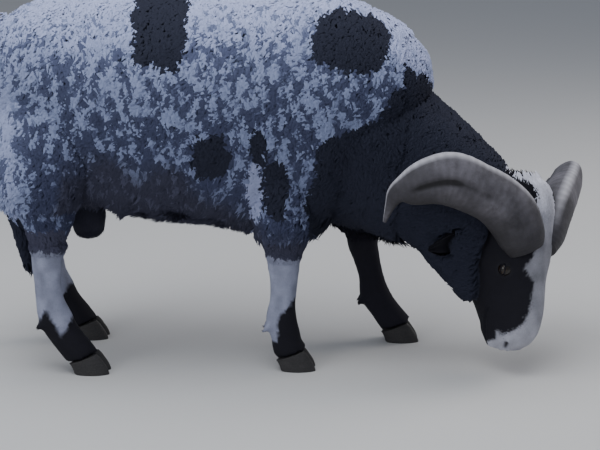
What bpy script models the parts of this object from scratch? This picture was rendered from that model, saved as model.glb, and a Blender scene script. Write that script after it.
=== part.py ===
"""A piebald two-horned ram that grazes with its head down, as a still, life-size model.

Metres, +Z up. The ram looks along +X, its right side is at -Y, and its soles stand at Z = 0.
The fleeced body is modelled whole and parted by thin flat cuts. Horns, ears and eyes are seated
in sockets of the head, and the shanks and hooves meet the legs at flat faces.
"""

import math
import random

import bmesh
import bpy
import numpy as np
from mathutils import Matrix, Vector
from mathutils.bvhtree import BVHTree

# Driving dimensions of the standing ram
GAP = 0.0003               # air between two pieces that touch
BACK_HEIGHT = 0.735        # top of the fleece over the loin
RUMP_END = -0.566          # rearmost fleece of the rump
HIND_TRACK = 0.112         # each hind leg's distance from the middle
FORE_TRACK = 0.092         # each foreleg's distance from the middle
BOX_MIDDLE = Vector((-0.001, -0.011, 0.0))   # middle of the whole ram's box on the ground

# Fleece
FLEECE_RISE = 0.024        # how far the clumps rise over the core of the coat
NECK_RISE = 0.018
LEG_RISE = 0.014
TAIL_RISE = 0.009

# Where the body is parted
NECK_CUT = (Vector((0.232, 0.0, 0.41)), Vector((0.975, 0.0, -0.22)))
HEAD_CUT = (Vector((0.392, -0.05, 0.30)), Vector((0.76, -0.25, -0.60)))
TAIL_CUT = (Vector((-0.566, 0.0, 0.60)), Vector((-0.995, 0.0, -0.09)))
CHEST_BACK = -0.120
RUMP_FRONT = -0.345
THIGH_TOP = 0.385
ELBOW_TOP = 0.315
HOCK_CUT = 0.245
KNEE_CUT = 0.226
TAIL_TOP = 0.655
TAIL_ROOM = 0.060          # half width of the room that the tail takes up in the rump
THIGH_ENDS = (-0.70, -0.372)
THIGH_INSIDE = 0.042       # how far a thigh's inner face stands from the middle
FOREARM_ENDS = {"right": (-0.085, 0.052), "left": (0.020, 0.205)}
FOREARM_INSIDE = 0.026
SCROTUM_ROOM = ((-0.455, -0.0415, 0.20), (-0.352, 0.0415, 0.338))

# The head's own frame: x from the poll to the nose, y to the ram's left, z out of the forehead
HEAD_ORIGIN = Vector((0.455, -0.075, 0.328))
HEAD_TURN = math.radians(42)    # to its right
HEAD_ROLL = math.radians(11)    # left horn down
HEAD_LIFT = math.radians(2)     # the nose this far ahead of hanging straight down
NOSE_DOWN = Matrix.Rotation(math.pi / 2 - HEAD_LIFT, 4, "Y")
HEAD_FRAME = (
    Matrix.Translation(HEAD_ORIGIN)
    @ Matrix.Rotation(-HEAD_TURN, 4, "Z")
    @ Matrix.Rotation(-HEAD_ROLL, 4, "X")
    @ NOSE_DOWN
)

EYE_RADIUS = 0.0145
EYE_PLACE = Vector((0.122, 0.0500, 0.012))

SIDES = {"right": -1, "left": 1}

COLOURS = {
    "white wool": (0.72, 0.73, 0.78, 1.0),
    "mottled wool": (0.33, 0.35, 0.42, 1.0),
    "black wool": (0.030, 0.028, 0.034, 1.0),
    "black hair": (0.020, 0.018, 0.020, 1.0),
    "white hair": (0.68, 0.69, 0.72, 1.0),
    "horn": (0.20, 0.18, 0.17, 1.0),
    "hoof": (0.025, 0.022, 0.022, 1.0),
    "eye": (0.10, 0.06, 0.02, 1.0),
}
ROUGHNESS = {"horn": 0.55, "hoof": 0.5, "eye": 0.1}


def material(name):
    found = bpy.data.materials.get(name)
    if found is None:
        found = bpy.data.materials.new(name)
        found.use_nodes = True
        shader = found.node_tree.nodes["Principled BSDF"]
        shader.inputs["Base Color"].default_value = COLOURS[name]
        shader.inputs["Roughness"].default_value = ROUGHNESS.get(name, 0.9)
        shader.inputs["Metallic"].default_value = 0.0
    return found


# Meshes


def mesh_object(name, points, faces, frame=None):
    """A closed mesh object whose faces point out."""
    mesh = bpy.data.meshes.new(name)
    mesh.from_pydata([tuple(p) for p in points], [], faces)
    obj = bpy.data.objects.new(name, mesh)
    bpy.context.scene.collection.objects.link(obj)
    if frame is not None:
        mesh.transform(frame)
    work = bmesh.new()
    work.from_mesh(mesh)
    bmesh.ops.recalc_face_normals(work, faces=work.faces)
    if work.calc_volume(signed=True) < 0:
        bmesh.ops.reverse_faces(work, faces=work.faces)
    work.to_mesh(mesh)
    work.free()
    return obj


def through(stations, count):
    """Rows read evenly from a smooth curve through the rows of stations."""
    rows = np.array(stations, float)
    slopes = np.gradient(rows, axis=0)
    steps = np.linspace(0, len(rows) - 1, count)
    low = np.minimum(steps.astype(int), len(rows) - 2)
    t = (steps - low)[:, None]
    return (
        rows[low] * (2 * t**3 - 3 * t**2 + 1)
        + slopes[low] * (t**3 - 2 * t**2 + t)
        + rows[low + 1] * (3 * t**2 - 2 * t**3)
        + slopes[low + 1] * (t**3 - t**2)
    )


def domed(rows, tangents, depth, at_start, steps=3):
    """The rows with a dome of that depth added before the first or after the last."""
    base, direction = (rows[0], -tangents[0]) if at_start else (rows[-1], tangents[-1])
    added = []
    for k in range(1, steps + 1):
        angle = k / (steps + 0.35) * math.pi / 2
        row = base.copy()
        row[:3] += direction * depth * math.sin(angle)
        row[3:6] *= math.cos(angle)
        added.append(row)
    if at_start:
        return np.vstack([added[::-1], rows]), np.vstack([[tangents[0]] * steps, tangents])
    return np.vstack([rows, added]), np.vstack([tangents, [tangents[-1]] * steps])


def ringed(rings):
    """Points and faces of a closed skin over rings with the same number of points."""
    sides = len(rings[0])
    points = [p for ring in rings for p in ring]
    faces = []
    for ring in range(len(rings) - 1):
        for k in range(sides):
            a, b = ring * sides + k, ring * sides + (k + 1) % sides
            faces.append((a, b, b + sides))
            faces.append((a, b + sides, a + sides))
    faces.append(tuple(reversed(range(sides))))
    faces.append(tuple(range(len(points) - sides, len(points))))
    return points, faces


def tube(name, stations, count, sides, side_axes=(0, 1, 0), ends=(0.0, 0.0), shrink=0.0,
         squareness=2.0, frame=None, ridge=0.0):
    """A closed tube through stations of x, y, z, half width, half depth up and half depth down.

    The sections stand square to the path, with their width along side_axes as nearly as they
    can. ends are the depths of the domes, and 0 leaves a flat end. shrink makes every section
    smaller all round, and ridge draws the section out to a blunt edge on its first side.
    """
    rows = through(stations, count)
    rows[:, 3:6] = np.maximum(rows[:, 3:6] - shrink, 0.0012)
    tangents = np.gradient(rows[:, :3], axis=0)
    tangents /= np.linalg.norm(tangents, axis=1)[:, None]
    if ends[0] > 0:
        rows, tangents = domed(rows, tangents, ends[0] - shrink, True)
    if ends[1] > 0:
        rows, tangents = domed(rows, tangents, ends[1] - shrink, False)
    angles = 2 * math.pi * np.arange(sides) / sides
    cos, sin = np.cos(angles), np.sin(angles)
    across = np.sign(cos) * np.abs(cos) ** (2 / squareness)
    along = np.sign(sin) * np.abs(sin) ** (2 / squareness)
    across = across + ridge * np.maximum(cos, 0) ** 4
    along = along * (1 - 1.6 * ridge * np.maximum(cos, 0))
    rings = []
    for row, tangent in zip(rows, tangents):
        side = np.array(side_axes(row[:3]) if callable(side_axes) else side_axes, float)
        side -= side.dot(tangent) * tangent
        side /= np.linalg.norm(side)
        up = np.cross(tangent, side)
        width, high, low = row[3:6]
        rings.append([
            row[:3] + side * a * width + up * b * (high if b > 0 else low)
            for a, b in zip(across, along)
        ])
    return mesh_object(name, *ringed(rings), frame)


def block(name, low, high):
    """A box cutter between two corners."""
    (x0, y0, z0), (x1, y1, z1) = low, high
    points = [(x, y, z) for x in (x0, x1) for y in (y0, y1) for z in (z0, z1)]
    faces = [(0, 1, 3, 2), (4, 6, 7, 5), (0, 4, 5, 1), (2, 3, 7, 6), (0, 2, 6, 4), (1, 5, 7, 3)]
    obj = mesh_object(name, points, faces)
    obj.hide_render = True
    obj.display_type = "WIRE"
    return obj


def half_space(name, plane, offset, reach=1.5):
    """A large box cutter on the side of a plane that its normal points to."""
    point, normal = plane
    obj = block(name, (-reach, -reach, 0), (reach, reach, 2 * reach))
    turn = normal.normalized().to_track_quat("Z", "Y").to_matrix().to_4x4()
    obj.data.transform(Matrix.Translation(point + normal.normalized() * offset) @ turn)
    return obj


def remove(objects):
    for obj in objects:
        bpy.data.objects.remove(obj)


def combine(obj, operation, objects):
    """Joins, cuts or keeps the overlap with all the objects at once, and applies the result."""
    group = bpy.data.collections.new("tools")
    bpy.context.scene.collection.children.link(group)
    for other in objects:
        group.objects.link(other)
    step = obj.modifiers.new(operation, "BOOLEAN")
    step.operation = operation
    step.operand_type = "COLLECTION"
    step.collection = group
    step.solver = "MANIFOLD"
    graph = bpy.context.evaluated_depsgraph_get()
    made = bpy.data.meshes.new_from_object(obj.evaluated_get(graph))
    obj.modifiers.clear()
    obj.data = made
    bpy.data.collections.remove(group)
    return obj


def largest_body(obj):
    """Keeps only the largest closed surface of a mesh, in triangles."""
    work = bmesh.new()
    work.from_mesh(obj.data)
    left, bodies = set(work.faces), []
    while left:
        stack, body = [left.pop()], []
        while stack:
            face = stack.pop()
            body.append(face)
            for edge in face.edges:
                for other in edge.link_faces:
                    if other in left:
                        left.remove(other)
                        stack.append(other)
        bodies.append(body)
    bodies.sort(key=lambda body: sum(face.calc_area() for face in body))
    loose = [face for body in bodies[:-1] for face in body]
    bmesh.ops.delete(work, geom=loose, context="FACES")
    bmesh.ops.dissolve_limit(work, angle_limit=math.radians(0.4), verts=work.verts,
                             edges=work.edges)
    bmesh.ops.triangulate(work, faces=work.faces)
    work.to_mesh(obj.data)
    work.free()
    return obj


def guard(obj, amount=2.2 * GAP):
    """A cutter a little larger all round than obj, for the socket that obj sits in."""
    work = bmesh.new()
    work.from_mesh(obj.data)
    work.normal_update()
    moves = [vert.normal * amount * min(vert.calc_shell_factor(), 2.5) for vert in work.verts]
    for vert, move in zip(work.verts, moves):
        vert.co += move
    mesh = bpy.data.meshes.new("guard")
    work.to_mesh(mesh)
    work.free()
    made = bpy.data.objects.new("guard", mesh)
    bpy.context.scene.collection.objects.link(made)
    made.hide_render = True
    made.display_type = "WIRE"
    return made


def finished(obj, finish):
    obj.data.materials.clear()
    obj.data.materials.append(material(finish))
    return obj


def parted(whole, name, finish, keep=(), cut=()):
    """A piece of the whole: what lies inside every cutter of keep and outside those of cut."""
    obj = bpy.data.objects.new(name, whole.data.copy())
    bpy.context.scene.collection.objects.link(obj)
    for cutter in keep:
        combine(obj, "INTERSECT", [cutter])
    for cutter in cut:
        combine(obj, "DIFFERENCE", [cutter])
    return finished(largest_body(obj), finish)


# The fleeced body: x, y and z of the middle, half width, depth up and down, out to the wool's tips


def torso_stations():
    profile = [
        # x, top of the back, underside, half width
        (RUMP_END + 0.008, 0.628, 0.500, 0.080),
        (RUMP_END + 0.028, 0.672, 0.440, 0.118),
        (-0.500, 0.712, 0.392, 0.146),
        (-0.435, BACK_HEIGHT - 0.004, 0.358, 0.164),
        (-0.335, BACK_HEIGHT, 0.312, 0.178),
        (-0.215, BACK_HEIGHT, 0.298, 0.188),
        (-0.090, BACK_HEIGHT, 0.286, 0.184),
        (0.020, BACK_HEIGHT - 0.004, 0.268, 0.170),
        (0.095, 0.722, 0.254, 0.156),
        (0.155, 0.686, 0.254, 0.134),
        (0.200, 0.618, 0.278, 0.106),
    ]
    rows = []
    for x, high, low, half in profile:
        middle = low + 0.56 * (high - low)
        rows.append((x, 0.0, middle, half, high - middle, middle - low))
    return rows


NECK_STATIONS = [
    (0.090, 0.000, 0.490, 0.138, 0.184, 0.190),
    (0.190, -0.003, 0.425, 0.126, 0.154, 0.158),
    (0.275, -0.022, 0.365, 0.112, 0.140, 0.128),
    (0.332, -0.040, 0.318, 0.096, 0.130, 0.120),
    (0.374, -0.058, 0.268, 0.082, 0.116, 0.116),
    (0.402, -0.074, 0.216, 0.064, 0.088, 0.104),
    (0.418, -0.086, 0.168, 0.048, 0.056, 0.083),
    (0.428, -0.094, 0.128, 0.032, 0.036, 0.058),
]

TAIL_STATIONS = [
    (-0.535, 0.0, 0.668, 0.024, 0.020, 0.020),
    (-0.560, 0.0, 0.618, 0.033, 0.024, 0.024),
    (-0.575, 0.0, 0.545, 0.037, 0.026, 0.026),
    (-0.570, 0.0, 0.455, 0.036, 0.026, 0.026),
    (-0.554, 0.0, 0.365, 0.031, 0.025, 0.025),
    (-0.534, 0.0, 0.270, 0.025, 0.021, 0.021),
    (-0.522, 0.0, 0.195, 0.015, 0.013, 0.013),
]

SCROTUM_STATIONS = [
    (-0.405, 0.0, 0.400, 0.024, 0.026, 0.026),
    (-0.404, 0.0, 0.345, 0.026, 0.026, 0.026),
    (-0.400, 0.0, 0.300, 0.037, 0.036, 0.036),
    (-0.398, 0.0, 0.268, 0.034, 0.032, 0.032),
]

# Each leg: where its joints stand along X
HIND_LEGS = {"right": -0.472, "left": -0.500}
FORE_LEGS = {
    # shoulder, knee, fetlock, toe
    "right": (-0.010, -0.006, -0.012, 0.006),
    "left": (0.055, 0.155, 0.180, 0.222),
}


def thigh_stations(side, x):
    y = side * HIND_TRACK
    return [
        (x + 0.030, 0.66 * y, 0.540, 0.074, 0.104, 0.100),
        (x + 0.012, 0.88 * y, 0.450, 0.074, 0.098, 0.094),
        (x + 0.000, y, 0.385, 0.066, 0.084, 0.082),
        (x + 0.007, y, 0.322, 0.052, 0.060, 0.056),
        (x + 0.006, y, 0.275, 0.042, 0.044, 0.040),
        (x + 0.009, y, 0.235, 0.035, 0.036, 0.034),
    ]


def forearm_stations(side, shoulder_x, knee_x):
    y = side * FORE_TRACK
    step = knee_x - shoulder_x
    return [
        (shoulder_x, 1.06 * y, 0.430, 0.050, 0.066, 0.066),
        (shoulder_x + 0.28 * step, 1.06 * y, 0.365, 0.050, 0.058, 0.060),
        (shoulder_x + 0.62 * step, 1.03 * y, 0.300, 0.045, 0.053, 0.055),
        (shoulder_x + 0.90 * step, y, 0.252, 0.040, 0.048, 0.048),
        (knee_x, y, 0.212, 0.033, 0.036, 0.038),
    ]


def body_core(depth):
    """The body without its clumps, depth under the outline, with the bare head joined on."""
    share = depth / FLEECE_RISE
    legs, neck = share * LEG_RISE, share * NECK_RISE
    core = tube("core", torso_stations(), 11, 16, ends=(0.012, 0.040), shrink=depth,
                squareness=2.25)
    others = [
        tube("neck core", NECK_STATIONS, 7, 14, ends=(0, 0.03), shrink=neck),
        tube("scrotum core", SCROTUM_STATIONS, 6, 10, ends=(0, 0.024)),
        bare_head(),
    ]
    for side, sign in SIDES.items():
        thigh = thigh_stations(sign, HIND_LEGS[side])
        forearm = forearm_stations(sign, *FORE_LEGS[side][:2])
        others.append(tube("thigh core", thigh, 7, 12, ends=(0.04, 0), shrink=legs))
        others.append(tube("forearm core", forearm, 6, 10, ends=(0.04, 0), shrink=legs))
    combine(core, "UNION", others)
    remove(others)
    return core


# The wool, in rounded clumps set close

CLUMP_RINGS = [
    # height over the core in rises, size in shares of the clump's room, drift along the lie
    (-0.45, 1.14, 0.00),
    (0.58, 0.86, 0.03),
    (1.00, 0.46, 0.10),
]
CLUMP_SPREAD = (0.85, 1.12)    # least and most of the rise that a clump has
CLUMP_WIDTH = 0.92         # a clump's largest radius, in pitches
SHORT_SIDE = 0.40          # sides shorter than this, in radii, are left out
AROUND = 0.45              # a clump round the far side of a leg or the tail takes no room
BODY_PITCH = 0.122         # how far apart the clumps stand
NECK_PITCH = 0.104
LEG_PITCH = 0.066
TAIL_PITCH = 0.068
WOOL_LIE = Vector((-0.45, 0.0, -1.0))    # the wool hangs down and back

# Where the wool gives way to short hair
CHEEK_BARE = 0.022         # this far behind the head cut, but for the throat
THROAT = -0.128            # the throat's wool lies deeper than this in the head's frame
LEG_WOOL_END = 0.014       # this far above the hock and knee
HIND_BARE_TOP = 0.37       # round the scrotum
HIND_WOOL_TOP = 0.36       # small clumps below these heights
FORE_WOOL_TOP = 0.272
ELBOW_WOOL = (-0.08, 0.14, 0.10, 0.33)   # from, to, this far aside and below this height
NECK_START = 0.21          # the neck's wool is ahead of this


def room(place, out, radius, others):
    """Corners of a clump's room, flat at its place: a hexagon cut back half way to the others."""
    lie = (WOOL_LIE - WOOL_LIE.dot(out) * out).normalized()
    across = out.cross(lie)
    corners = []
    for k in range(6):
        angle = 2 * math.pi * k / 6
        corners.append((lie * math.cos(angle) + across * math.sin(angle)) * radius)
    for other in others:
        toward = other - other.dot(out) * out
        if toward.length < AROUND * other.length:
            continue
        toward *= other.length / toward.length
        beyond = [corner.dot(toward) - toward.length_squared / 2 for corner in corners]
        kept = []
        for k, corner in enumerate(corners):
            if beyond[k - 1] * beyond[k] < 0:
                share = beyond[k - 1] / (beyond[k - 1] - beyond[k])
                kept.append(corners[k - 1].lerp(corner, share))
            if beyond[k] <= 0:
                kept.append(corner)
        corners = kept
    while len(corners) > 4:
        sides = [(corners[k] - corners[k - 1]).length for k in range(len(corners))]
        k = sides.index(min(sides))
        if sides[k] > SHORT_SIDE * radius:
            break
        corners[k] = (corners[k] + corners[k - 1]) / 2
        corners.pop(k - 1)
    return corners, lie


def clump(place, out, radius, rise, others, surface):
    """A rounded clump that follows the core's surface, with its root sunk in it all round."""
    corners, lie = room(place, out, radius, others)
    rings = []
    for height, size, drift in CLUMP_RINGS:
        ring = []
        for corner in corners:
            foot = place + corner * size + lie * radius * drift
            under, away, _, _ = surface.find_nearest(foot)
            ring.append(under + (away + out).normalized() * rise * height)
        rings.append(ring)
    return mesh_object("clump", *ringed(rings))


def surface_points(obj, count):
    """Points spread over the surface by chance, with the way out at each."""
    faces = list(obj.data.polygons)
    areas = [face.area for face in faces]
    found = []
    for face in random.choices(faces, weights=areas, k=count):
        corners = [obj.data.vertices[k].co for k in face.vertices[:3]]
        a, b = sorted((random.random(), random.random()))
        place = corners[0] * a + corners[1] * (b - a) + corners[2] * (1 - b)
        found.append((place, face.normal.copy()))
    return found


def evenly(places, pitches):
    """Picks places about a pitch apart, spread evenly.

    They are first taken one by one, each the farthest from those before it. Then each is moved,
    a few times over, to the middle of the places that are nearer to it than to the others.
    """
    points, pitches = np.array(places), np.array(pitches)
    nearest = np.full(len(points), np.inf)
    chosen = []
    while nearest.max() > 0.80:
        chosen.append(int(nearest.argmax()))
        away = np.linalg.norm(points - points[chosen[-1]], axis=1) / pitches
        nearest = np.minimum(nearest, away)
    for _ in range(8):
        away = np.linalg.norm(points[:, None] - points[chosen][None], axis=2)
        owner = away.argmin(axis=1)
        for k in range(len(chosen)):
            own = np.flatnonzero(owner == k)
            middle = points[own].mean(axis=0)
            chosen[k] = int(own[np.linalg.norm(points[own] - middle, axis=1).argmin()])
    return chosen


def ahead_of(place, plane):
    """How far a place lies on the side of the plane that its normal points to."""
    return (place - plane[0]).dot(plane[1].normalized())


def wool_of(place):
    """Pitch and rise of the wool at a place on the core, or nothing where the hair is short."""
    throat = (HEAD_FRAME.inverted() @ place).z < THROAT
    if ahead_of(place, HEAD_CUT) > -CHEEK_BARE and not throat:
        return None
    (start, _, _), (end, aside, _) = SCROTUM_ROOM
    if place.z < HIND_BARE_TOP and abs(place.y) < 1.5 * aside and start < place.x < end:
        return None
    if ahead_of(place, TAIL_CUT) > -0.02 and abs(place.y) < TAIL_ROOM and place.z < TAIL_TOP:
        return None
    behind = place.x < RUMP_FRONT
    if place.x > NECK_START:
        return NECK_PITCH, NECK_RISE
    if place.z < (HOCK_CUT if behind else KNEE_CUT) + LEG_WOOL_END:
        return None
    if place.z < (HIND_WOOL_TOP if behind else FORE_WOOL_TOP):
        return LEG_PITCH, LEG_RISE
    back, front, aside, top = ELBOW_WOOL
    if place.z < top and abs(place.y) > aside and back < place.x < front:
        return LEG_PITCH, LEG_RISE
    return BODY_PITCH, FLEECE_RISE


def fleeced(core, wool_of, candidates):
    """The core with its clumps of wool fused on."""
    surface = BVHTree.FromObject(core, bpy.context.evaluated_depsgraph_get())
    places, outs, pitches, rises = [], [], [], []
    for place, out in surface_points(core, candidates):
        wool = wool_of(place)
        if wool:
            places.append(place)
            outs.append(out)
            pitches.append(wool[0])
            rises.append(wool[1])
    clumps = []
    chosen = evenly(places, pitches)
    for k in chosen:
        others = [places[m] - places[k] for m in chosen if m != k]
        others = [other for other in others if other.length < 2.5 * pitches[k]]
        rise = rises[k] * random.uniform(*CLUMP_SPREAD)
        radius = CLUMP_WIDTH * pitches[k]
        clumps.append(clump(places[k], outs[k], radius, rise, others, surface))
    combine(core, "UNION", clumps)
    remove(clumps)
    return largest_body(core)


# The head, in its own frame

HEAD_SECTIONS = [
    # along the face, forehead, throat, half width, narrowing above and below
    (-0.050, 0.030, -0.060, 0.040, 0.10, 0.10),
    (-0.025, 0.053, -0.085, 0.056, 0.12, 0.15),
    (0.015, 0.066, -0.104, 0.064, 0.14, 0.25),
    (0.060, 0.070, -0.118, 0.067, 0.16, 0.35),
    (0.100, 0.070, -0.126, 0.065, 0.20, 0.40),
    (0.138, 0.068, -0.122, 0.058, 0.26, 0.43),
    (0.174, 0.071, -0.104, 0.050, 0.24, 0.38),
    (0.210, 0.071, -0.079, 0.045, 0.20, 0.32),
    (0.240, 0.065, -0.061, 0.041, 0.17, 0.28),
    (0.264, 0.051, -0.050, 0.036, 0.13, 0.22),
    (0.278, 0.032, -0.039, 0.028, 0.08, 0.15),
]

FACE_FORMS = [
    # place along, aside and out of the forehead, swelling, how far it spreads
    (0.096, 0.052, 0.040, 0.0060, 0.020),     # brow
    (0.105, 0.052, -0.050, 0.0060, 0.036),    # cheek
    (0.158, 0.044, 0.012, -0.0045, 0.022),    # hollow below the eye
    (0.255, 0.030, 0.026, 0.0050, 0.012),     # wing of the nostril
    (0.260, 0.024, -0.010, 0.0042, 0.012),    # upper lip
    (0.250, 0.020, -0.040, 0.0040, 0.013),    # lower lip
]


EYE_OUT = Vector((0.12, 0.96, 0.22))      # the way an eye looks
LID_REACH = EYE_RADIUS + 0.0012
LID_HALF = 0.0030
LID_SPAN = math.radians(64)
LID_LIFTS = (math.radians(38), math.radians(-34))

MOUTH_DEPTH = 0.0035
MOUTH_GAPE = 0.0018
MOUTH_LINE = [
    # along the face, out of the forehead
    (0.198, -0.016), (0.211, -0.026), (0.230, -0.031), (0.262, -0.031), (0.300, -0.028),
]
NOSTRIL = [
    # along, aside, up and half width, from the middle of the nose out
    (0.2820, 0.0065, 0.0010, 0.0022),
    (0.2790, 0.0145, 0.0085, 0.0042),
    (0.2730, 0.0245, 0.0160, 0.0048),
    (0.2650, 0.0320, 0.0220, 0.0028),
]
PHILTRUM = [
    (0.2830, 0.0, 0.0020, 0.0016),
    (0.2835, 0.0, -0.0160, 0.0020),
    (0.2830, 0.0, -0.0340, 0.0016),
]


def thread(name, stations, sign=1, sides=6):
    """A round tube in the head's frame through along, aside, up and half width."""
    rows = [(a, sign * w, n, half, half, half) for a, w, n, half in stations]
    return tube(name, rows, len(rows) + 1, sides, side_axes=(0.3, 0.2, 1.0), frame=HEAD_FRAME)


def lid(sign, lift):
    """A lid that runs over the eye from corner to corner, raised by lift at its middle."""
    centre = Vector((EYE_PLACE.x, sign * EYE_PLACE.y, EYE_PLACE.z))
    out = Vector((EYE_OUT.x, sign * EYE_OUT.y, EYE_OUT.z)).normalized()
    along = (Vector((1, 0, 0)) - out.x * out).normalized()
    up = Vector((0, 0, 1))
    up = (up - up.dot(out) * out - up.dot(along) * along).normalized()
    rows = []
    for k in range(7):
        swing = LID_SPAN * (k / 3 - 1)
        tilt = lift * math.cos(swing)
        across = out * math.cos(tilt) + up * math.sin(tilt)
        place = centre + LID_REACH * (along * math.sin(swing) + across * math.cos(swing))
        rows.append((*place, LID_HALF, LID_HALF, LID_HALF))
    return tube("lid", rows, 7, 5, side_axes=tuple(out), frame=HEAD_FRAME)


def mouth_cutter(head):
    """A thin bent sheet at the line of the mouth, hollow inside so that it only scores the skin."""
    half = MOUTH_GAPE / 2
    edge = [(-0.06, -half), (0.06, -half), (0.06, half), (-0.06, half)]
    rings = [[Vector((a, w, n + rise)) for w, rise in edge] for a, n in MOUTH_LINE]
    sheet = mesh_object("mouth", *ringed(rings), HEAD_FRAME)
    inside = guard(head, -MOUTH_DEPTH)
    combine(sheet, "DIFFERENCE", [inside])
    remove([inside])
    return sheet


def bare_head():
    """The head with its lids, mouth line, nostrils and the groove of the upper lip."""
    head = head_loft()
    lids = [lid(sign, lift) for sign in SIDES.values() for lift in LID_LIFTS]
    cutters = [mouth_cutter(head), thread("philtrum", PHILTRUM)]
    cutters += [thread("nostril", NOSTRIL, sign) for sign in SIDES.values()]
    combine(head, "UNION", lids)
    for cutter in cutters:
        combine(head, "DIFFERENCE", [cutter])
    remove(lids + cutters)
    return head


def head_loft(count=17, sides=16):
    """The skull and its flesh: square sections along the face, then the swellings of the face."""
    rings = []
    for along, brow, throat, half, above, below in through(HEAD_SECTIONS, count):
        middle = throat + 0.56 * (brow - throat)
        ring = []
        for k in range(sides):
            angle = 2 * math.pi * k / sides
            cos, sin = math.cos(angle), math.sin(angle)
            narrow = above if sin > 0 else below
            across = math.copysign(abs(cos) ** 0.86, cos) * (1 - narrow * sin * sin)
            up = math.copysign(abs(sin) ** 0.92, sin)
            height = brow - middle if sin > 0 else middle - throat
            ring.append(Vector((
                along,
                half * across,
                middle + height * up,
            )))
        rings.append(ring)
    for ring in rings:
        for point in ring:
            out = Vector((0, point.y, point.z + 0.01)).normalized()
            for along, aside, up, swell, spread in FACE_FORMS:
                for sign in SIDES.values():
                    away = (point - Vector((along, sign * aside, up))).length
                    point += out * swell * math.exp(-((away / spread) ** 2))
    tip = rings[-1]
    middle = sum(tip, Vector((0, 0, 0))) / len(tip)
    for depth, share in ((0.0035, 0.72), (0.0050, 0.36)):
        drop = Vector((depth, 0, 0))
        rings.append([middle + (point - middle) * share + drop for point in tip])
    return mesh_object("head", *ringed(rings), HEAD_FRAME)


HORN_MIDDLE = Vector((0.065, 0.143, -0.046))   # what the horn curls round

HORN_STATIONS = [
    # along, aside, up, half breadth, half thickness
    (0.082, 0.034, 0.042, 0.034, 0.022),
    (0.056, 0.048, 0.037, 0.044, 0.033),
    (0.018, 0.073, 0.026, 0.049, 0.038),
    (-0.010, 0.110, 0.011, 0.048, 0.038),
    (-0.027, 0.152, -0.008, 0.048, 0.037),
    (-0.040, 0.195, -0.032, 0.050, 0.035),
    (-0.035, 0.222, -0.055, 0.046, 0.032),
    (-0.018, 0.244, -0.086, 0.035, 0.025),
    (-0.004, 0.256, -0.108, 0.020, 0.016),
    (0.018, 0.258, -0.120, 0.010, 0.009),
    (0.052, 0.256, -0.132, 0.003, 0.003),
]


def horn(name, side):
    """A horn that leaves the crown sideways, arches back and turns down to its tip."""
    sign = SIDES[side]
    rows = [(a, sign * w, n, wide, thick, thick) for a, w, n, wide, thick in HORN_STATIONS]
    middle = np.array(HORN_MIDDLE) * (1, sign, 1)
    return tube(name, rows, 21, 12, side_axes=lambda place: place - middle,
                squareness=2.3, frame=HEAD_FRAME, ridge=0.10)


EAR_ROOT = Vector((0.070, 0.046, -0.052))
EAR_TIP = Vector((0.100, 0.152, -0.098))

EAR_STATIONS = [
    # share of the length, half width, cup depth, how open the cup is
    (0.00, 0.012, 0.011, 0.0),
    (0.14, 0.014, 0.012, 0.0),
    (0.26, 0.020, 0.013, 0.7),
    (0.42, 0.026, 0.013, 1.0),
    (0.60, 0.027, 0.011, 1.0),
    (0.76, 0.022, 0.008, 1.0),
    (0.90, 0.013, 0.005, 1.0),
    (1.00, 0.004, 0.002, 1.0),
]
EAR_THICKNESS = 0.0036


def ear(name, side):
    """A cupped leaf: a round stalk that opens forwards, with thin walls out to its tip."""
    sign = SIDES[side]
    root = Vector((EAR_ROOT.x, sign * EAR_ROOT.y, EAR_ROOT.z))
    length = Vector((EAR_TIP.x, sign * EAR_TIP.y, EAR_TIP.z)) - root
    along = length.normalized()
    opening = Vector((0.35, 0.0, 0.94))
    opening = (opening - opening.dot(along) * along).normalized()
    across = along.cross(opening)
    rings = []
    for share, half, cup, opened in through(EAR_STATIONS, 10):
        middle = root + length * share
        wall = EAR_THICKNESS / 2
        back, front = [], []
        for k in range(8):
            u = 2 * k / 7 - 1
            bow = cup * (1 - u * u)
            rim = math.sqrt(max(0.0, 1 - u * u))
            back.append((u, -bow - wall * (0.4 + 0.6 * rim)))
            front.append((u, (1 - opened) * bow - opened * bow + wall * (0.4 + 0.6 * rim)))
        profile = back + front[::-1]
        rings.append([
            middle + across * u * half + opening * depth for u, depth in profile
        ])
    return mesh_object(name, *ringed(rings), HEAD_FRAME)


def eye(name, side):
    sign = SIDES[side]
    work = bmesh.new()
    bmesh.ops.create_uvsphere(work, u_segments=12, v_segments=7, radius=EYE_RADIUS)
    mesh = bpy.data.meshes.new(name)
    work.to_mesh(mesh)
    work.free()
    place = Vector((EYE_PLACE.x, sign * EYE_PLACE.y, EYE_PLACE.z))
    mesh.transform(HEAD_FRAME @ Matrix.Translation(place) @ Matrix.Rotation(math.pi / 2, 4, "X"))
    obj = bpy.data.objects.new(name, mesh)
    bpy.context.scene.collection.objects.link(obj)
    return obj


# Legs below the fleece


def hind_shank_stations(side, x):
    y = side * HIND_TRACK
    return [
        (x + 0.009, y, 0.262, 0.029, 0.033, 0.033),
        (x + 0.007, y, 0.225, 0.023, 0.030, 0.032),
        (x + 0.006, y, 0.185, 0.020, 0.026, 0.028),
        (x + 0.009, y, 0.145, 0.020, 0.028, 0.029),
        (x + 0.018, y, 0.112, 0.025, 0.033, 0.034),
        (x + 0.034, y, 0.080, 0.024, 0.031, 0.032),
        (x + 0.055, y, 0.048, 0.026, 0.033, 0.030),
        (x + 0.072, y, 0.022, 0.026, 0.034, 0.030),
    ]


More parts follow.
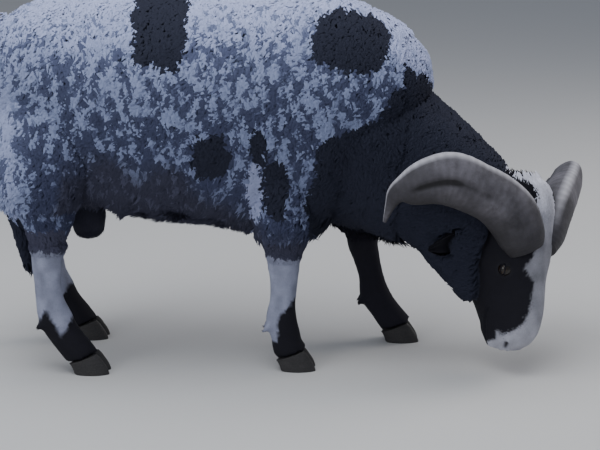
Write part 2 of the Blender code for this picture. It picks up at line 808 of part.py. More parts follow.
def fore_shank_stations(side, knee, fetlock, toe):
    y = side * FORE_TRACK
    return [
        (knee, y, 0.240, 0.029, 0.032, 0.034),
        (knee - 0.001, y, 0.212, 0.027, 0.031, 0.033),
        (knee + 0.25 * (fetlock - knee), y, 0.180, 0.021, 0.028, 0.028),
        (knee + 0.65 * (fetlock - knee), y, 0.140, 0.020, 0.026, 0.026),
        (fetlock, y, 0.102, 0.024, 0.030, 0.032),
        (fetlock + 0.42 * (toe - fetlock), y, 0.072, 0.024, 0.029, 0.030),
        (fetlock + 1.0 * (toe - fetlock) - 0.006, y, 0.044, 0.026, 0.032, 0.030),
        (toe + 0.010, y, 0.020, 0.026, 0.034, 0.030),
    ]


HOOF_LENGTH = 0.068
HOOF_WIDTH = 0.0270
HOOF_SPREAD = 0.0150       # each claw's distance from the foot's middle
CORONET_HEEL = 0.026       # height of the hoof's top edge behind and in front
CORONET_TOE = 0.050


def coronet(x, hoof_x):
    """Height of the flat that parts hoof and pastern, at x."""
    share = (x - hoof_x) / HOOF_LENGTH + 0.5
    return CORONET_HEEL + (CORONET_TOE - CORONET_HEEL) * share


def claw(name, hoof_x, y):
    """One of the two claws: a flat sole, a sloping toe and a slanted flat top."""
    rings = []
    for rise, size, back in ((0.0, 0.95, 0.0), (0.10, 1.0, 0.002), (0.55, 0.90, 0.009),
                             (1.0, 0.78, 0.018)):
        ring = []
        for k in range(12):
            angle = 2 * math.pi * k / 12
            ahead = math.cos(angle)
            across = math.copysign(abs(math.sin(angle)) ** 0.85, math.sin(angle))
            width = HOOF_WIDTH / 2 * (size * 0.5 + 0.5) * (1 - 0.30 * max(ahead, 0) ** 2)
            x = hoof_x - back + HOOF_LENGTH / 2 * size * ahead
            ring.append((x, y + width * across, rise * coronet(x, hoof_x)))
        rings.append(ring)
    return finished(mesh_object(name, *ringed(rings)), "hoof")


def foot(name, stations, top, hoof_x, finish):
    """A shank from its flat top down to the coronet, with its dewclaws, and its two claws."""
    y = stations[0][1]
    shank = tube(name, stations, 11, 9)
    fetlock = next(row for row in stations if row[2] < 0.115)
    for sign in (-1, 1):
        start = Vector((fetlock[0] - 0.016, y + sign * 0.013, fetlock[2] - 0.004))
        end = start + Vector((-0.021, sign * 0.002, -0.017))
        rows = [(*start.lerp(end, t), r, r, r) for t, r in ((0, 0.008), (0.6, 0.0075), (1, 0.004))]
        dewclaw = tube("dewclaw", rows, 3, 6)
        combine(shank, "UNION", [dewclaw])
        remove([dewclaw])
    slope = (CORONET_TOE - CORONET_HEEL) / HOOF_LENGTH
    plane = (Vector((hoof_x, y, coronet(hoof_x, hoof_x))), Vector((slope, 0, -1)))
    cutters = [
        half_space("above", (Vector((0, 0, top)), Vector((0, 0, 1))), -GAP / 2),
        half_space("below", plane, -GAP),
    ]
    combine(shank, "DIFFERENCE", cutters)
    remove(cutters)
    finished(largest_body(shank), finish)
    for part, sign in (("outer", math.copysign(1, y)), ("inner", -math.copysign(1, y))):
        claw(f"{name.replace('shank', 'hoof')}_{part}", hoof_x, y + sign * HOOF_SPREAD)


def main():
    for obj in list(bpy.data.objects):
        bpy.data.objects.remove(obj)
    random.seed(11)

    for side, sign in SIDES.items():
        x = HIND_LEGS[side]
        foot(f"hind_shank_{side}", hind_shank_stations(sign, x), HOCK_CUT, x + 0.089, "white hair")
        _, knee, fetlock, toe = FORE_LEGS[side]
        foot(f"fore_shank_{side}", fore_shank_stations(sign, knee, fetlock, toe), KNEE_CUT,
             toe + 0.016, "white hair")

    whole = fleeced(body_core(FLEECE_RISE), wool_of, 9000)

    half = GAP / 2
    cutters = {
        "ahead of the neck cut": half_space("c", NECK_CUT, half),
        "behind the neck cut": half_space("c", (NECK_CUT[0], -NECK_CUT[1]), half),
        "ahead of the head cut": half_space("c", HEAD_CUT, half),
        "behind the head cut": half_space("c", (HEAD_CUT[0], -HEAD_CUT[1]), half),
        "rump": block("c", (-1, -1, 0.1), (RUMP_FRONT - half, 1, 1)),
        "barrel": block("c", (RUMP_FRONT + half, -1, 0.1), (CHEST_BACK - half, 1, 1)),
        "shoulders": block("c", (CHEST_BACK + half, -1, 0.1), (1, 1, 1)),
    }
    legs = {}
    for side, sign in SIDES.items():
        for part, (low_x, high_x), inner, low_z, high_z in (
            ("thigh", THIGH_ENDS, THIGH_INSIDE, HOCK_CUT, THIGH_TOP),
            ("forearm", FOREARM_ENDS[side], FOREARM_INSIDE, KNEE_CUT, ELBOW_TOP),
        ):
            for use, gap in (("keep", half), ("cut", -half)):
                ys = sorted((sign * (inner + gap), sign * 0.4))
                legs[part, side, use] = block("c", (low_x + gap, ys[0], low_z + gap),
                                              (high_x - gap, ys[1], high_z - gap))
    leg_cuts = [cutter for (_, _, use), cutter in legs.items() if use == "cut"]
    low, high = map(Vector, SCROTUM_ROOM)
    gap = Vector((GAP, GAP, GAP))
    scrotum_keep = block("c", low, high)
    scrotum_cut = block("c", low - gap, high + gap)
    tail_keep = half_space("c", TAIL_CUT, half)
    tail_box = block("c", (-1, -TAIL_ROOM, 0), (0, TAIL_ROOM, TAIL_TOP - half))
    tail_cut = half_space("c", TAIL_CUT, -half)
    tail_cut_box = block("c", (-1, -TAIL_ROOM - GAP, 0), (0, TAIL_ROOM + GAP, TAIL_TOP + half))
    combine(tail_cut, "INTERSECT", [tail_cut_box])

    horn_guards = [guard(finished(horn(f"horn_{side}", side), "horn")) for side in SIDES]
    ear_guards = [guard(finished(ear(f"ear_{side}", side), "black hair")) for side in SIDES]
    eye_guards = [guard(finished(eye(f"eye_{side}", side), "eye")) for side in SIDES]

    parted(whole, "rump", "white wool", [cutters["rump"]], leg_cuts + [scrotum_cut, tail_cut])
    parted(whole, "barrel", "mottled wool", [cutters["barrel"]], leg_cuts)
    parted(whole, "shoulders", "mottled wool",
           [cutters["shoulders"], cutters["behind the neck cut"]], leg_cuts + horn_guards)
    parted(whole, "neck", "black wool",
           [cutters["ahead of the neck cut"], cutters["behind the head cut"]],
           leg_cuts + horn_guards + ear_guards)
    parted(whole, "head", "black hair", [cutters["ahead of the head cut"]],
           horn_guards + ear_guards + eye_guards)
    parted(whole, "scrotum", "black hair", [scrotum_keep])
    for side in SIDES:
        parted(whole, f"thigh_{side}", "mottled wool", [legs["thigh", side, "keep"]], [tail_cut])
        parted(whole, f"forearm_{side}", "mottled wool", [legs["forearm", side, "keep"]])
    random.seed(3)      # the tail's clumps don't depend on the body's
    tail = tube("tail", TAIL_STATIONS, 12, 10, ends=(0, 0.014), shrink=TAIL_RISE)
    fleeced(tail, lambda place: (TAIL_PITCH, TAIL_RISE), 2000)
    combine(tail, "INTERSECT", [tail_keep])
    combine(tail, "INTERSECT", [tail_box])
    finished(largest_body(tail), "white wool")

    remove([whole, *cutters.values(), *legs.values(), scrotum_keep, scrotum_cut])
    remove([tail_keep, tail_box, tail_cut, tail_cut_box])
    remove([*horn_guards, *ear_guards, *eye_guards])

    for obj in bpy.data.objects:
        obj.data.transform(Matrix.Translation(-BOX_MIDDLE))


main()
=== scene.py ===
import math

import bmesh
import bpy
import numpy as np
from mathutils import Matrix, Vector
from mathutils.bvhtree import BVHTree


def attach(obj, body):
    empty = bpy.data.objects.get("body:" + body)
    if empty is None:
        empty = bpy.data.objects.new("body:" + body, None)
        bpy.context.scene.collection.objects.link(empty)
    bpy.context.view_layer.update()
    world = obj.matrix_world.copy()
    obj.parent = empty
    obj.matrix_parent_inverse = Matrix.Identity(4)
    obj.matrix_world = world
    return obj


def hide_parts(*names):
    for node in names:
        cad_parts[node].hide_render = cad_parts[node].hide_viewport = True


# A piebald ram that grazes. Lengths are in metres; the ram looks along +X and its right side is at -Y.
# Places are written from the middle between the forelegs and hind legs; setDown moves each finished
# mesh by the same step as the solids, so that the whole ram's box stands over the origin.

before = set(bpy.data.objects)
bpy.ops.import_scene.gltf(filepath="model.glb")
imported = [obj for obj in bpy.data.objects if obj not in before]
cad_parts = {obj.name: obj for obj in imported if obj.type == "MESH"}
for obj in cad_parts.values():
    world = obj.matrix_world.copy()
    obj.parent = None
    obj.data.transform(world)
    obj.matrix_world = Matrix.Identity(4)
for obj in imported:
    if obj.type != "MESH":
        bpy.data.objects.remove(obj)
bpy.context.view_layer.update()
setDown = Vector((0.001, 0.011, 0.0))
dice = np.random.default_rng(7)


# Camera, floor and light

view = {
    "target": (0.024, 0.0, 0.27),
    "height": math.radians(14),
    "distance": 3.2,
    "lens": 96,
}


def makeCamera():
    target = Vector(view["target"]) + setDown
    back = Vector((0, -math.cos(view["height"]), math.sin(view["height"])))
    data = bpy.data.cameras.new("camera")
    data.lens = view["lens"]
    data.sensor_width = 36
    camera = place("camera", data)
    camera.location = target + back * view["distance"]
    camera.rotation_euler = back.to_track_quat("Z", "Y").to_euler()
    bpy.context.scene.camera = camera


studio = {
    "floor": (0.62, 0.61, 0.60),
    "sky": (0.62, 0.68, 0.80),
    "skyStrength": 0.42,
    # place, size, power, colour
    "lights": [
        ((-0.4, -0.6, 3.2), 3.0, 95, (0.94, 0.97, 1.0)),
        ((-2.6, -3.0, 1.7), 2.4, 42, (0.92, 0.96, 1.0)),
        ((2.8, 1.2, 1.9), 1.6, 34, (1.0, 0.95, 0.90)),
    ],
}


def makeStudio():
    bpy.ops.mesh.primitive_plane_add(size=14, location=(0, 3, 0))
    floor = bpy.context.object
    floor.name = "floor"
    floor.data.transform(Matrix.Translation(floor.location))
    floor.location = (0, 0, 0)
    paint = Paint("floor")
    grain = paint.noise(paint.coords(), 9.0, 5.0)
    tone = paint.mix(grain * 0.25 + 0.35, studio["floor"], [c * 0.93 for c in studio["floor"]])
    floor.data.materials.append(paint.finish(tone, 0.92).material)
    world = bpy.data.worlds.new("studio")
    world.use_nodes = True
    sky = world.node_tree.nodes["Background"]
    sky.inputs["Color"].default_value = (*studio["sky"], 1)
    sky.inputs["Strength"].default_value = studio["skyStrength"]
    bpy.context.scene.world = world
    for spot, size, power, colour in studio["lights"]:
        data = bpy.data.lights.new("softbox", "AREA")
        data.size, data.energy, data.color = size, power, colour
        lamp = place("softbox", data)
        lamp.location = spot
        lamp.rotation_euler = (Vector(spot) - Vector((0, 0, 0.3))).to_track_quat("Z", "Y").to_euler()


# Shader building: a Link wraps a socket, and its operators add Math nodes


def mathStep(operation, swapped=False):
    def step(link, *others):
        values = (*others, link) if swapped else (link, *others)
        return link.paint.node("ShaderNodeMath", {"operation": operation}, *values)

    return step


class Link:
    def __init__(self, paint, socket):
        self.paint = paint
        self.socket = socket

    __add__ = __radd__ = mathStep("ADD")
    __mul__ = __rmul__ = mathStep("MULTIPLY")
    __sub__ = mathStep("SUBTRACT")
    __rsub__ = mathStep("SUBTRACT", swapped=True)
    __truediv__ = mathStep("DIVIDE")
    __pow__ = mathStep("POWER")
    sine = mathStep("SINE")

    def clamp(self):
        return self.paint.node("ShaderNodeClamp", {}, self)


class Paint:
    def __init__(self, name):
        self.material = bpy.data.materials.new(name)
        self.material.use_nodes = True
        self.tree = self.material.node_tree
        self.shader = self.tree.nodes["Principled BSDF"]

    def plug(self, socket, value):
        if isinstance(value, Link):
            self.tree.links.new(value.socket, socket)
        elif socket.type == "RGBA" and len(value) == 3:
            socket.default_value = (*value, 1)
        else:
            socket.default_value = value

    def node(self, kind, settings, *values, output=0, **named):
        # settings come first, then values or Links by place or by name
        made = self.tree.nodes.new(kind)
        for key, value in settings.items():
            setattr(made, key, value)
        for key, value in (*enumerate(values), *named.items()):
            self.plug(made.inputs[key], value)
        return Link(self, made.outputs[output])

    def coords(self):
        return self.node("ShaderNodeTexCoord", {}, output="Object")

    def attribute(self, name, output="Fac"):
        return self.node("ShaderNodeAttribute", {"attribute_name": name}, output=output)

    def noise(self, where, scale, detail, roughness=0.5):
        return self.node("ShaderNodeTexNoise", {}, Vector=where, Scale=scale, Detail=detail,
                         Roughness=roughness)

    def lit(self, colour, value):
        return self.node("ShaderNodeHueSaturation", {}, Value=value, Color=colour)

    def mix(self, factor, first, second):
        made = self.tree.nodes.new("ShaderNodeMix")
        made.data_type = "RGBA"
        for index, value in ((0, factor), (6, first), (7, second)):
            self.plug(made.inputs[index], value)
        return Link(self, made.outputs[2])

    def bump(self, height, strength, distance):
        return self.node("ShaderNodeBump", {}, Strength=strength, Distance=distance, Height=height)

    def finish(self, baseColor, roughness, normal=None, constants={}):
        for name, value in (("Base Color", baseColor), ("Roughness", roughness), ("Normal", normal)):
            if value is not None:
                self.plug(self.shader.inputs[name], value)
        for name, value in constants.items():
            self.shader.inputs[name].default_value = value
        return self


# Meshes from arrays


def fastMesh(name, points, faces):
    mesh = bpy.data.meshes.new(name)
    mesh.vertices.add(len(points))
    mesh.vertices.foreach_set("co", np.asarray(points, np.float32).ravel())
    mesh.loops.add(faces.size)
    mesh.loops.foreach_set("vertex_index", faces.astype(np.int32).ravel())
    mesh.polygons.add(len(faces))
    starts = np.arange(0, faces.size, faces.shape[1], dtype=np.int32)
    mesh.polygons.foreach_set("loop_start", starts)
    mesh.update(calc_edges=True)
    return mesh


def place(name, data):
    obj = bpy.data.objects.new(name, data)
    bpy.context.scene.collection.objects.link(obj)
    if isinstance(data, bpy.types.Mesh):
        data.shade_smooth()
    return obj


def settle(obj, paint, replaced=()):
    # a finished piece: moved with the solids, painted, and riding on the body
    obj.data.transform(Matrix.Translation(setDown))
    obj.data.materials.clear()
    obj.data.materials.append(paint.material)
    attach(obj, "root")
    if replaced:
        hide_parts(*replaced)
    return obj


def vertexValues(mesh, what="co"):
    values = np.empty(len(mesh.vertices) * 3, np.float32)
    mesh.vertices.foreach_get(what, values)
    return values.reshape(-1, 3).astype(float)


def setPoints(mesh, points):
    mesh.vertices.foreach_set("co", points.astype(np.float32).ravel())
    mesh.update()


def setValues(mesh, name, values):
    layer = mesh.attributes.new(name, "FLOAT", "POINT")
    layer.data.foreach_set("value", values.astype(np.float32))


def setColours(mesh, name, colours):
    layer = mesh.attributes.new(name, "FLOAT_COLOR", "POINT")
    rgba = np.ones((len(colours), 4), np.float32)
    rgba[:, :3] = colours
    layer.data.foreach_set("color", rgba.ravel())


def ringFaces(rings, sides):
    k = np.arange(sides)
    following = (k + 1) % sides
    rows = [np.stack([r * sides + k, r * sides + following, (r + 1) * sides + following,
                      (r + 1) * sides + k], axis=1) for r in range(rings - 1)]
    return np.concatenate(rows)


def closedMesh(name, rings):
    # rings: an array of rings of points; both ends are closed by a fan to their middle
    count, sides = rings.shape[:2]
    points = rings.reshape(-1, 3)
    faces = [tuple(face) for face in ringFaces(count, sides)]
    points = np.vstack([points, points[:sides].mean(axis=0), points[-sides:].mean(axis=0)])
    first, last = len(points) - 2, len(points) - 1
    for k in range(sides):
        after = (k + 1) % sides
        faces += [(after, k, first), ((count - 1) * sides + k, (count - 1) * sides + after, last)]
    mesh = bpy.data.meshes.new(name)
    mesh.from_pydata([tuple(point) for point in points], [], faces)
    # faces outward
    work = bmesh.new()
    work.from_mesh(mesh)
    bmesh.ops.recalc_face_normals(work, faces=work.faces)
    if work.calc_volume(signed=True) < 0:
        bmesh.ops.reverse_faces(work, faces=work.faces)
    work.to_mesh(mesh)
    work.free()
    return mesh


# Small sums that come back often


def bell(away, width):
    return np.exp(-((away / width) ** 2))


def ramp(value, width):
    return np.clip(value / width, 0, 1)


def bent(values, power):
    return np.sign(values) * np.abs(values) ** power


def turns(count):
    return 2 * math.pi * np.arange(count) / count


def mirrored(places, sign):
    return np.array(places) * (1, sign, 1)


def through(stations, steps):
    # rows read from a smooth curve through the stations, at steps counted in stations
    rows = np.array(stations, float)
    if np.ndim(steps) == 0:
        steps = np.linspace(0, len(rows) - 1, steps)
    slopes = np.gradient(rows, axis=0)
    low = np.minimum(steps.astype(int), len(rows) - 2)
    t = (steps - low)[:, None]
    return (rows[low] * (2 * t**3 - 3 * t**2 + 1) + slopes[low] * (t**3 - 2 * t**2 + t)
            + rows[low + 1] * (3 * t**2 - 2 * t**3) + slopes[low + 1] * (t**3 - t**2))


def domed(rows, tangents, depth, steps=6):
    # rings that round off the last one
    added = []
    for k in range(1, steps + 1):
        angle = k / (steps + 0.35) * math.pi / 2
        row = rows[-1].copy()
        row[:3] += tangents[-1] * depth * math.sin(angle)
        row[3:6] *= math.cos(angle)
        added.append(row)
    return np.vstack([rows, added]), np.vstack([tangents, [tangents[-1]] * steps])


def tubeRings(stations, count, sides, sideAxes=(0, 1, 0), ends=(0.0, 0.0), shrink=0.0, squareness=2.0,
              ridge=0.0):
    # stations hold x, y, z, half width, half depth up and half depth down
    thinnest = 0.0012
    rows = through(stations, count)
    rows[:, 3:6] = np.maximum(rows[:, 3:6] - shrink, thinnest)
    tangents = np.gradient(rows[:, :3], axis=0)
    tangents /= np.linalg.norm(tangents, axis=1)[:, None]
    for end in ends:
        rows, tangents = rows[::-1], -tangents[::-1]
        if end > 0:
            rows, tangents = domed(rows, tangents, end - shrink)
    cos, sin = np.cos(turns(sides)), np.sin(turns(sides))
    across = bent(cos, 2 / squareness) + ridge * np.maximum(cos, 0) ** 4
    along = bent(sin, 2 / squareness) * (1 - 1.6 * ridge * np.maximum(cos, 0))
    rings = []
    for row, tangent in zip(rows, tangents):
        side = np.array(sideAxes(row[:3]) if callable(sideAxes) else sideAxes, float)
        side -= side.dot(tangent) * tangent
        side /= np.linalg.norm(side)
        up = np.cross(tangent, side)
        depth = np.where(along > 0, row[4], row[5])
        rings.append(row[:3] + np.outer(across * row[3], side) + np.outer(along * depth, up))
    return np.array(rings)


noiseTable = np.random.default_rng(5).random(8192)
noiseKeys = (73856093, 19349663, 83492791)     # large primes that scatter the table's places


def noise(points, scale, seed=0):
    # smooth noise from 0 to 1
    spots = points * np.asarray(scale) + seed * 17.31 + 400
    base = np.floor(spots).astype(np.int64)
    part = spots - base
    part = part * part * (3 - 2 * part)
    total = np.zeros(len(points))
    for corner in np.ndindex(2, 2, 2):
        index = np.bitwise_xor.reduce((base + corner) * noiseKeys, axis=1) % len(noiseTable)
        weight = np.prod(np.where(np.array(corner), part, 1 - part), axis=1)
        total += weight * noiseTable[index]
    return total


def swing(points, scale, seed):
    return noise(points, scale, seed) - 0.5


# The ram's own sizes, the same as those of the solids

body = {
    "backHeight": 0.735,
    "rumpEnd": -0.566,
    "hindTrack": 0.112,
    "foreTrack": 0.092,
    "fleece": 0.024,         # how deep the skin lies under the outline of the wool
    "neckWool": 0.018,
    "legWool": 0.014,
    "tailWool": 0.009,
    "voxel": 0.0055,
    "smoothing": 6,
    "hindLegs": {"right": -0.472, "left": -0.500},
    "foreLegs": {
        # shoulder, knee, fetlock, toe
        "right": (-0.010, -0.006, -0.012, 0.006),
        "left": (0.055, 0.155, 0.180, 0.222),
    },
    "neck": [
        (0.090, 0.000, 0.490, 0.138, 0.184, 0.190),
        (0.190, -0.003, 0.425, 0.126, 0.154, 0.158),
        (0.275, -0.022, 0.365, 0.112, 0.140, 0.128),
        (0.332, -0.040, 0.318, 0.096, 0.130, 0.120),
        (0.374, -0.058, 0.268, 0.082, 0.116, 0.116),
        (0.402, -0.074, 0.216, 0.064, 0.088, 0.104),
        (0.418, -0.086, 0.168, 0.048, 0.056, 0.083),
        (0.428, -0.094, 0.128, 0.032, 0.036, 0.058),
    ],
    "tail": [
        (-0.535, 0.0, 0.668, 0.024, 0.020, 0.020),
        (-0.560, 0.0, 0.618, 0.033, 0.024, 0.024),
        (-0.575, 0.0, 0.545, 0.037, 0.026, 0.026),
        (-0.570, 0.0, 0.455, 0.036, 0.026, 0.026),
        (-0.554, 0.0, 0.365, 0.031, 0.025, 0.025),
        (-0.534, 0.0, 0.270, 0.025, 0.021, 0.021),
        (-0.522, 0.0, 0.195, 0.015, 0.013, 0.013),
    ],
    "scrotum": [
        (-0.405, 0.0, 0.400, 0.024, 0.026, 0.026),
        (-0.404, 0.0, 0.345, 0.026, 0.026, 0.026),
        (-0.400, 0.0, 0.300, 0.037, 0.036, 0.036),
        (-0.398, 0.0, 0.268, 0.034, 0.032, 0.032),
    ],
}
sides = {"right": -1, "left": 1}


def torsoStations():
    high, end = body["backHeight"], body["rumpEnd"]
    profile = [
        # x, top of the back, underside, half width
        (end + 0.008, 0.628, 0.500, 0.080),
        (end + 0.028, 0.672, 0.440, 0.118),
        (-0.500, 0.712, 0.392, 0.146),
        (-0.435, high - 0.004, 0.358, 0.164),
        (-0.335, high, 0.312, 0.178),
        (-0.215, high, 0.298, 0.188),
        (-0.090, high, 0.286, 0.184),
        (0.020, high - 0.004, 0.268, 0.170),
        (0.095, 0.722, 0.254, 0.156),
        (0.155, 0.686, 0.254, 0.134),
        (0.200, 0.618, 0.278, 0.106),
    ]
    rows = []
    for x, top, low, half in profile:
        middle = low + 0.56 * (top - low)
        rows.append((x, 0.0, middle, half, top - middle, middle - low))
    return rows


def thighStations(side, x):
    y = side * body["hindTrack"]
    return [
        (x + 0.030, 0.66 * y, 0.540, 0.074, 0.104, 0.100),
        (x + 0.012, 0.88 * y, 0.450, 0.074, 0.098, 0.094),
        (x + 0.000, y, 0.385, 0.066, 0.084, 0.082),
        (x + 0.007, y, 0.322, 0.052, 0.060, 0.056),
        (x + 0.006, y, 0.275, 0.042, 0.044, 0.040),
        (x + 0.009, y, 0.235, 0.035, 0.036, 0.034),
    ]


def hindShankStations(side, x):
    y = side * body["hindTrack"]
    return [
        (x + 0.009, y, 0.262, 0.029, 0.033, 0.033),
        (x + 0.007, y, 0.225, 0.023, 0.030, 0.032),
        (x + 0.006, y, 0.185, 0.020, 0.026, 0.028),
        (x + 0.009, y, 0.145, 0.020, 0.028, 0.029),
        (x + 0.018, y, 0.112, 0.025, 0.033, 0.034),
        (x + 0.034, y, 0.080, 0.024, 0.031, 0.032),
        (x + 0.055, y, 0.048, 0.026, 0.033, 0.030),
        (x + 0.072, y, 0.022, 0.026, 0.034, 0.030),
    ]


def forearmStations(side, shoulder, knee):
    y = side * body["foreTrack"]
    step = knee - shoulder
    return [
        (shoulder, 1.06 * y, 0.430, 0.050, 0.066, 0.066),
        (shoulder + 0.28 * step, 1.06 * y, 0.365, 0.050, 0.058, 0.060),
        (shoulder + 0.62 * step, 1.03 * y, 0.300, 0.045, 0.053, 0.055),
        (shoulder + 0.90 * step, y, 0.252, 0.040, 0.048, 0.048),
        (knee, y, 0.212, 0.033, 0.036, 0.038),
    ]


def foreShankStations(side, knee, fetlock, toe):
    y = side * body["foreTrack"]
    return [
        (knee, y, 0.240, 0.029, 0.032, 0.034),
        (knee - 0.001, y, 0.212, 0.027, 0.031, 0.033),
        (knee + 0.25 * (fetlock - knee), y, 0.180, 0.021, 0.028, 0.028),
        (knee + 0.65 * (fetlock - knee), y, 0.140, 0.020, 0.026, 0.026),
        (fetlock, y, 0.102, 0.024, 0.030, 0.032),
        (fetlock + 0.42 * (toe - fetlock), y, 0.072, 0.024, 0.029, 0.030),
        (fetlock + 1.0 * (toe - fetlock) - 0.006, y, 0.044, 0.026, 0.032, 0.030),
        (toe + 0.010, y, 0.020, 0.026, 0.034, 0.030),
    ]


hoof = {
    "length": 0.068,
    "width": 0.0270,
    "spread": 0.0150,       # each claw's distance from the foot's middle
    "heel": 0.026,          # height of the hoof's top edge behind and in front
    "toe": 0.050,
    # height as a share of the top edge, size, how far back
    "profile": [(0.0, 0.86, 0.0), (0.0, 0.95, 0.0), (0.02, 0.975, 0.0005), (0.10, 1.0, 0.002),
                (0.30, 0.965, 0.0045), (0.55, 0.90, 0.009), (0.80, 0.84, 0.0135), (0.95, 0.80, 0.017),
                (1.0, 0.77, 0.018), (1.0, 0.5, 0.018)],
    # share of its length, radius
    "dewclaw": [(0, 0.008), (0.6, 0.0075), (1, 0.004)],
}


def coronet(x, hoofX):
    share = (x - hoofX) / hoof["length"] + 0.5
    return hoof["heel"] + (hoof["toe"] - hoof["heel"]) * share


def footPlaces():
    # each foot's name, stations of its shank, and where its hoof stands
    for side, sign in sides.items():
        x = body["hindLegs"][side]
        yield "hind", side, hindShankStations(sign, x), x + 0.089
        _, knee, fetlock, toe = body["foreLegs"][side]
        yield "fore", side, foreShankStations(sign, knee, fetlock, toe), toe + 0.016


# The head's own frame: x from the poll to the nose, y to the ram's left, z out of the forehead

head = {
    "origin": (0.455, -0.075, 0.328),
    "turn": math.radians(42),
    "roll": math.radians(11),
    "lift": math.radians(2),
    "sections": [
        # along the face, forehead, throat, half width, narrowing above and below
        (-0.050, 0.030, -0.060, 0.040, 0.10, 0.10),
        (-0.025, 0.053, -0.085, 0.056, 0.12, 0.15),
        (0.015, 0.066, -0.104, 0.064, 0.14, 0.25),
        (0.060, 0.070, -0.118, 0.067, 0.16, 0.35),
        (0.100, 0.070, -0.126, 0.065, 0.20, 0.40),
        (0.138, 0.068, -0.122, 0.058, 0.26, 0.43),
        (0.174, 0.071, -0.104, 0.050, 0.24, 0.38),
        (0.210, 0.071, -0.079, 0.045, 0.20, 0.32),
        (0.240, 0.065, -0.061, 0.041, 0.17, 0.28),
        (0.264, 0.051, -0.050, 0.036, 0.13, 0.22),
        (0.278, 0.032, -0.039, 0.028, 0.08, 0.15),
    ],
    "forms": [
        # place along, aside and out of the forehead, swelling, how far it spreads
        (0.096, 0.052, 0.040, 0.0060, 0.020),
        (0.105, 0.052, -0.050, 0.0060, 0.036),
        (0.158, 0.044, 0.012, -0.0045, 0.022),
        (0.255, 0.030, 0.026, 0.0050, 0.012),
        (0.260, 0.024, -0.010, 0.0042, 0.012),
        (0.250, 0.020, -0.040, 0.0040, 0.013),
        (0.118, 0.046, -0.016, 0.0030, 0.012),
        (0.190, 0.030, 0.040, -0.0016, 0.014),
    ],
    "mouth": [(0.198, -0.016), (0.211, -0.026), (0.230, -0.031), (0.262, -0.031), (0.300, -0.028)],
    "nostril": [(0.2820, 0.0065, 0.0010), (0.2790, 0.0145, 0.0085), (0.2730, 0.0245, 0.0160),
                (0.2650, 0.0325, 0.0230)],
    "philtrum": [(0.2830, 0.0, 0.0020), (0.2835, 0.0, -0.0160), (0.2830, 0.0, -0.0290)],
    "eye": (0.122, 0.0500, 0.012),
    "eyeRadius": 0.0145,
    "eyeOut": (0.12, 0.96, 0.22),
    "eyeReach": 0.030,       # skin as near as this to an eye's middle belongs to the head
    "skinReach": 0.0015,     # and so does skin as near as this to the head's or an ear's form
    "woolTo": 0.034,         # how far down the face the longer hair of the poll and cheeks runs
    "rearmost": 0.25,        # no part of the head or ears lies further back than this x
}
headFrame = (Matrix.Translation(head["origin"]) @ Matrix.Rotation(-head["turn"], 4, "Z")
             @ Matrix.Rotation(-head["roll"], 4, "X") @ Matrix.Rotation(math.pi / 2 - head["lift"], 4, "Y"))
headInverse = headFrame.inverted()


def moved(points, matrix):
    m = np.array(matrix)
    return points @ m[:3, :3].T + m[:3, 3]


def awayFrom(points, path):
    # distance of every point to a path of straight runs, and how far along it that is, from 0 to 1
    path = np.array(path, float)
    best = np.full(len(points), np.inf)
    share = np.zeros(len(points))
    runs = len(path) - 1
    for k in range(runs):
        step = path[k + 1] - path[k]
        t = np.clip((points - path[k]) @ step / (step @ step), 0, 1)
        away = np.linalg.norm(points - path[k] - t[:, None] * step, axis=1)
        nearer = away < best
        best = np.where(nearer, away, best)
        share = np.where(nearer, (k + t) / runs, share)
    return best, share


def headRings():
    steps = np.concatenate([np.linspace(0, 6, 54), np.linspace(6, 10, 66)[1:]])
    around = 132
    cos, sin = np.cos(turns(around)), np.sin(turns(around))
    rings = []
    for along, brow, throat, half, above, below in through(head["sections"], steps):
        middle = throat + 0.56 * (brow - throat)
        across = bent(cos, 0.86) * (1 - np.where(sin > 0, above, below) * sin * sin)
        height = np.where(sin > 0, brow - middle, middle - throat)
        up = middle + height * bent(sin, 0.92)
        rings.append(np.stack([np.full(around, along), half * across, up], axis=1))
    # the nose is rounded off by a low dome
    tip = rings[-1]
    middle = tip.mean(axis=0)
    for k in range(1, 13):
        angle = k / 12.5 * math.pi / 2
        rings.append(middle + (tip - middle) * math.cos(angle) + np.array([0.006 * math.sin(angle), 0, 0]))
    return np.array(rings)


def makeHead():
    rings = headRings()
    points = rings.reshape(-1, 3)
    out = points * [0, 1, 1] + [0, 0, 0.01]
    out /= np.linalg.norm(out, axis=1)[:, None]
    for along, aside, up, swell, spread in head["forms"]:
        for sign in (-1, 1):
            away = np.linalg.norm(points - [along, sign * aside, up], axis=1)
            points = points + out * (swell * bell(away, spread))[:, None]
    mesh = closedMesh("head", points.reshape(rings.shape))
    points = vertexValues(mesh)
    depth = np.zeros(len(points))
    # the mouth and nostrils are grooves between low lips
    away, share = awayFrom(points[:, [0, 2]], head["mouth"])
    depth -= 0.0034 * bell(away, 0.0016) * np.clip(share * 7, 0, 1)
    depth += 0.0012 * bell(away - 0.0045, 0.0028) * np.clip(share * 5, 0, 1)
    for sign in (-1, 1):
        away, _ = awayFrom(points, mirrored(head["nostril"], sign))
        depth -= 0.0075 * bell(away, 0.0034)
        depth += 0.0016 * bell(away - 0.0075, 0.0030)
    away, _ = awayFrom(points, head["philtrum"])
    depth -= 0.0022 * bell(away, 0.0014)
    depth += 0.0007 * swing(points, 90, 3) + 0.0010 * swing(points, 45, 4)
    points += vertexValues(mesh, "normal") * depth[:, None]
    setPoints(mesh, moved(points, headFrame))
    return place("head form", mesh)


# Lids: a collar round each eye, wrapped over the ball and run out onto the face

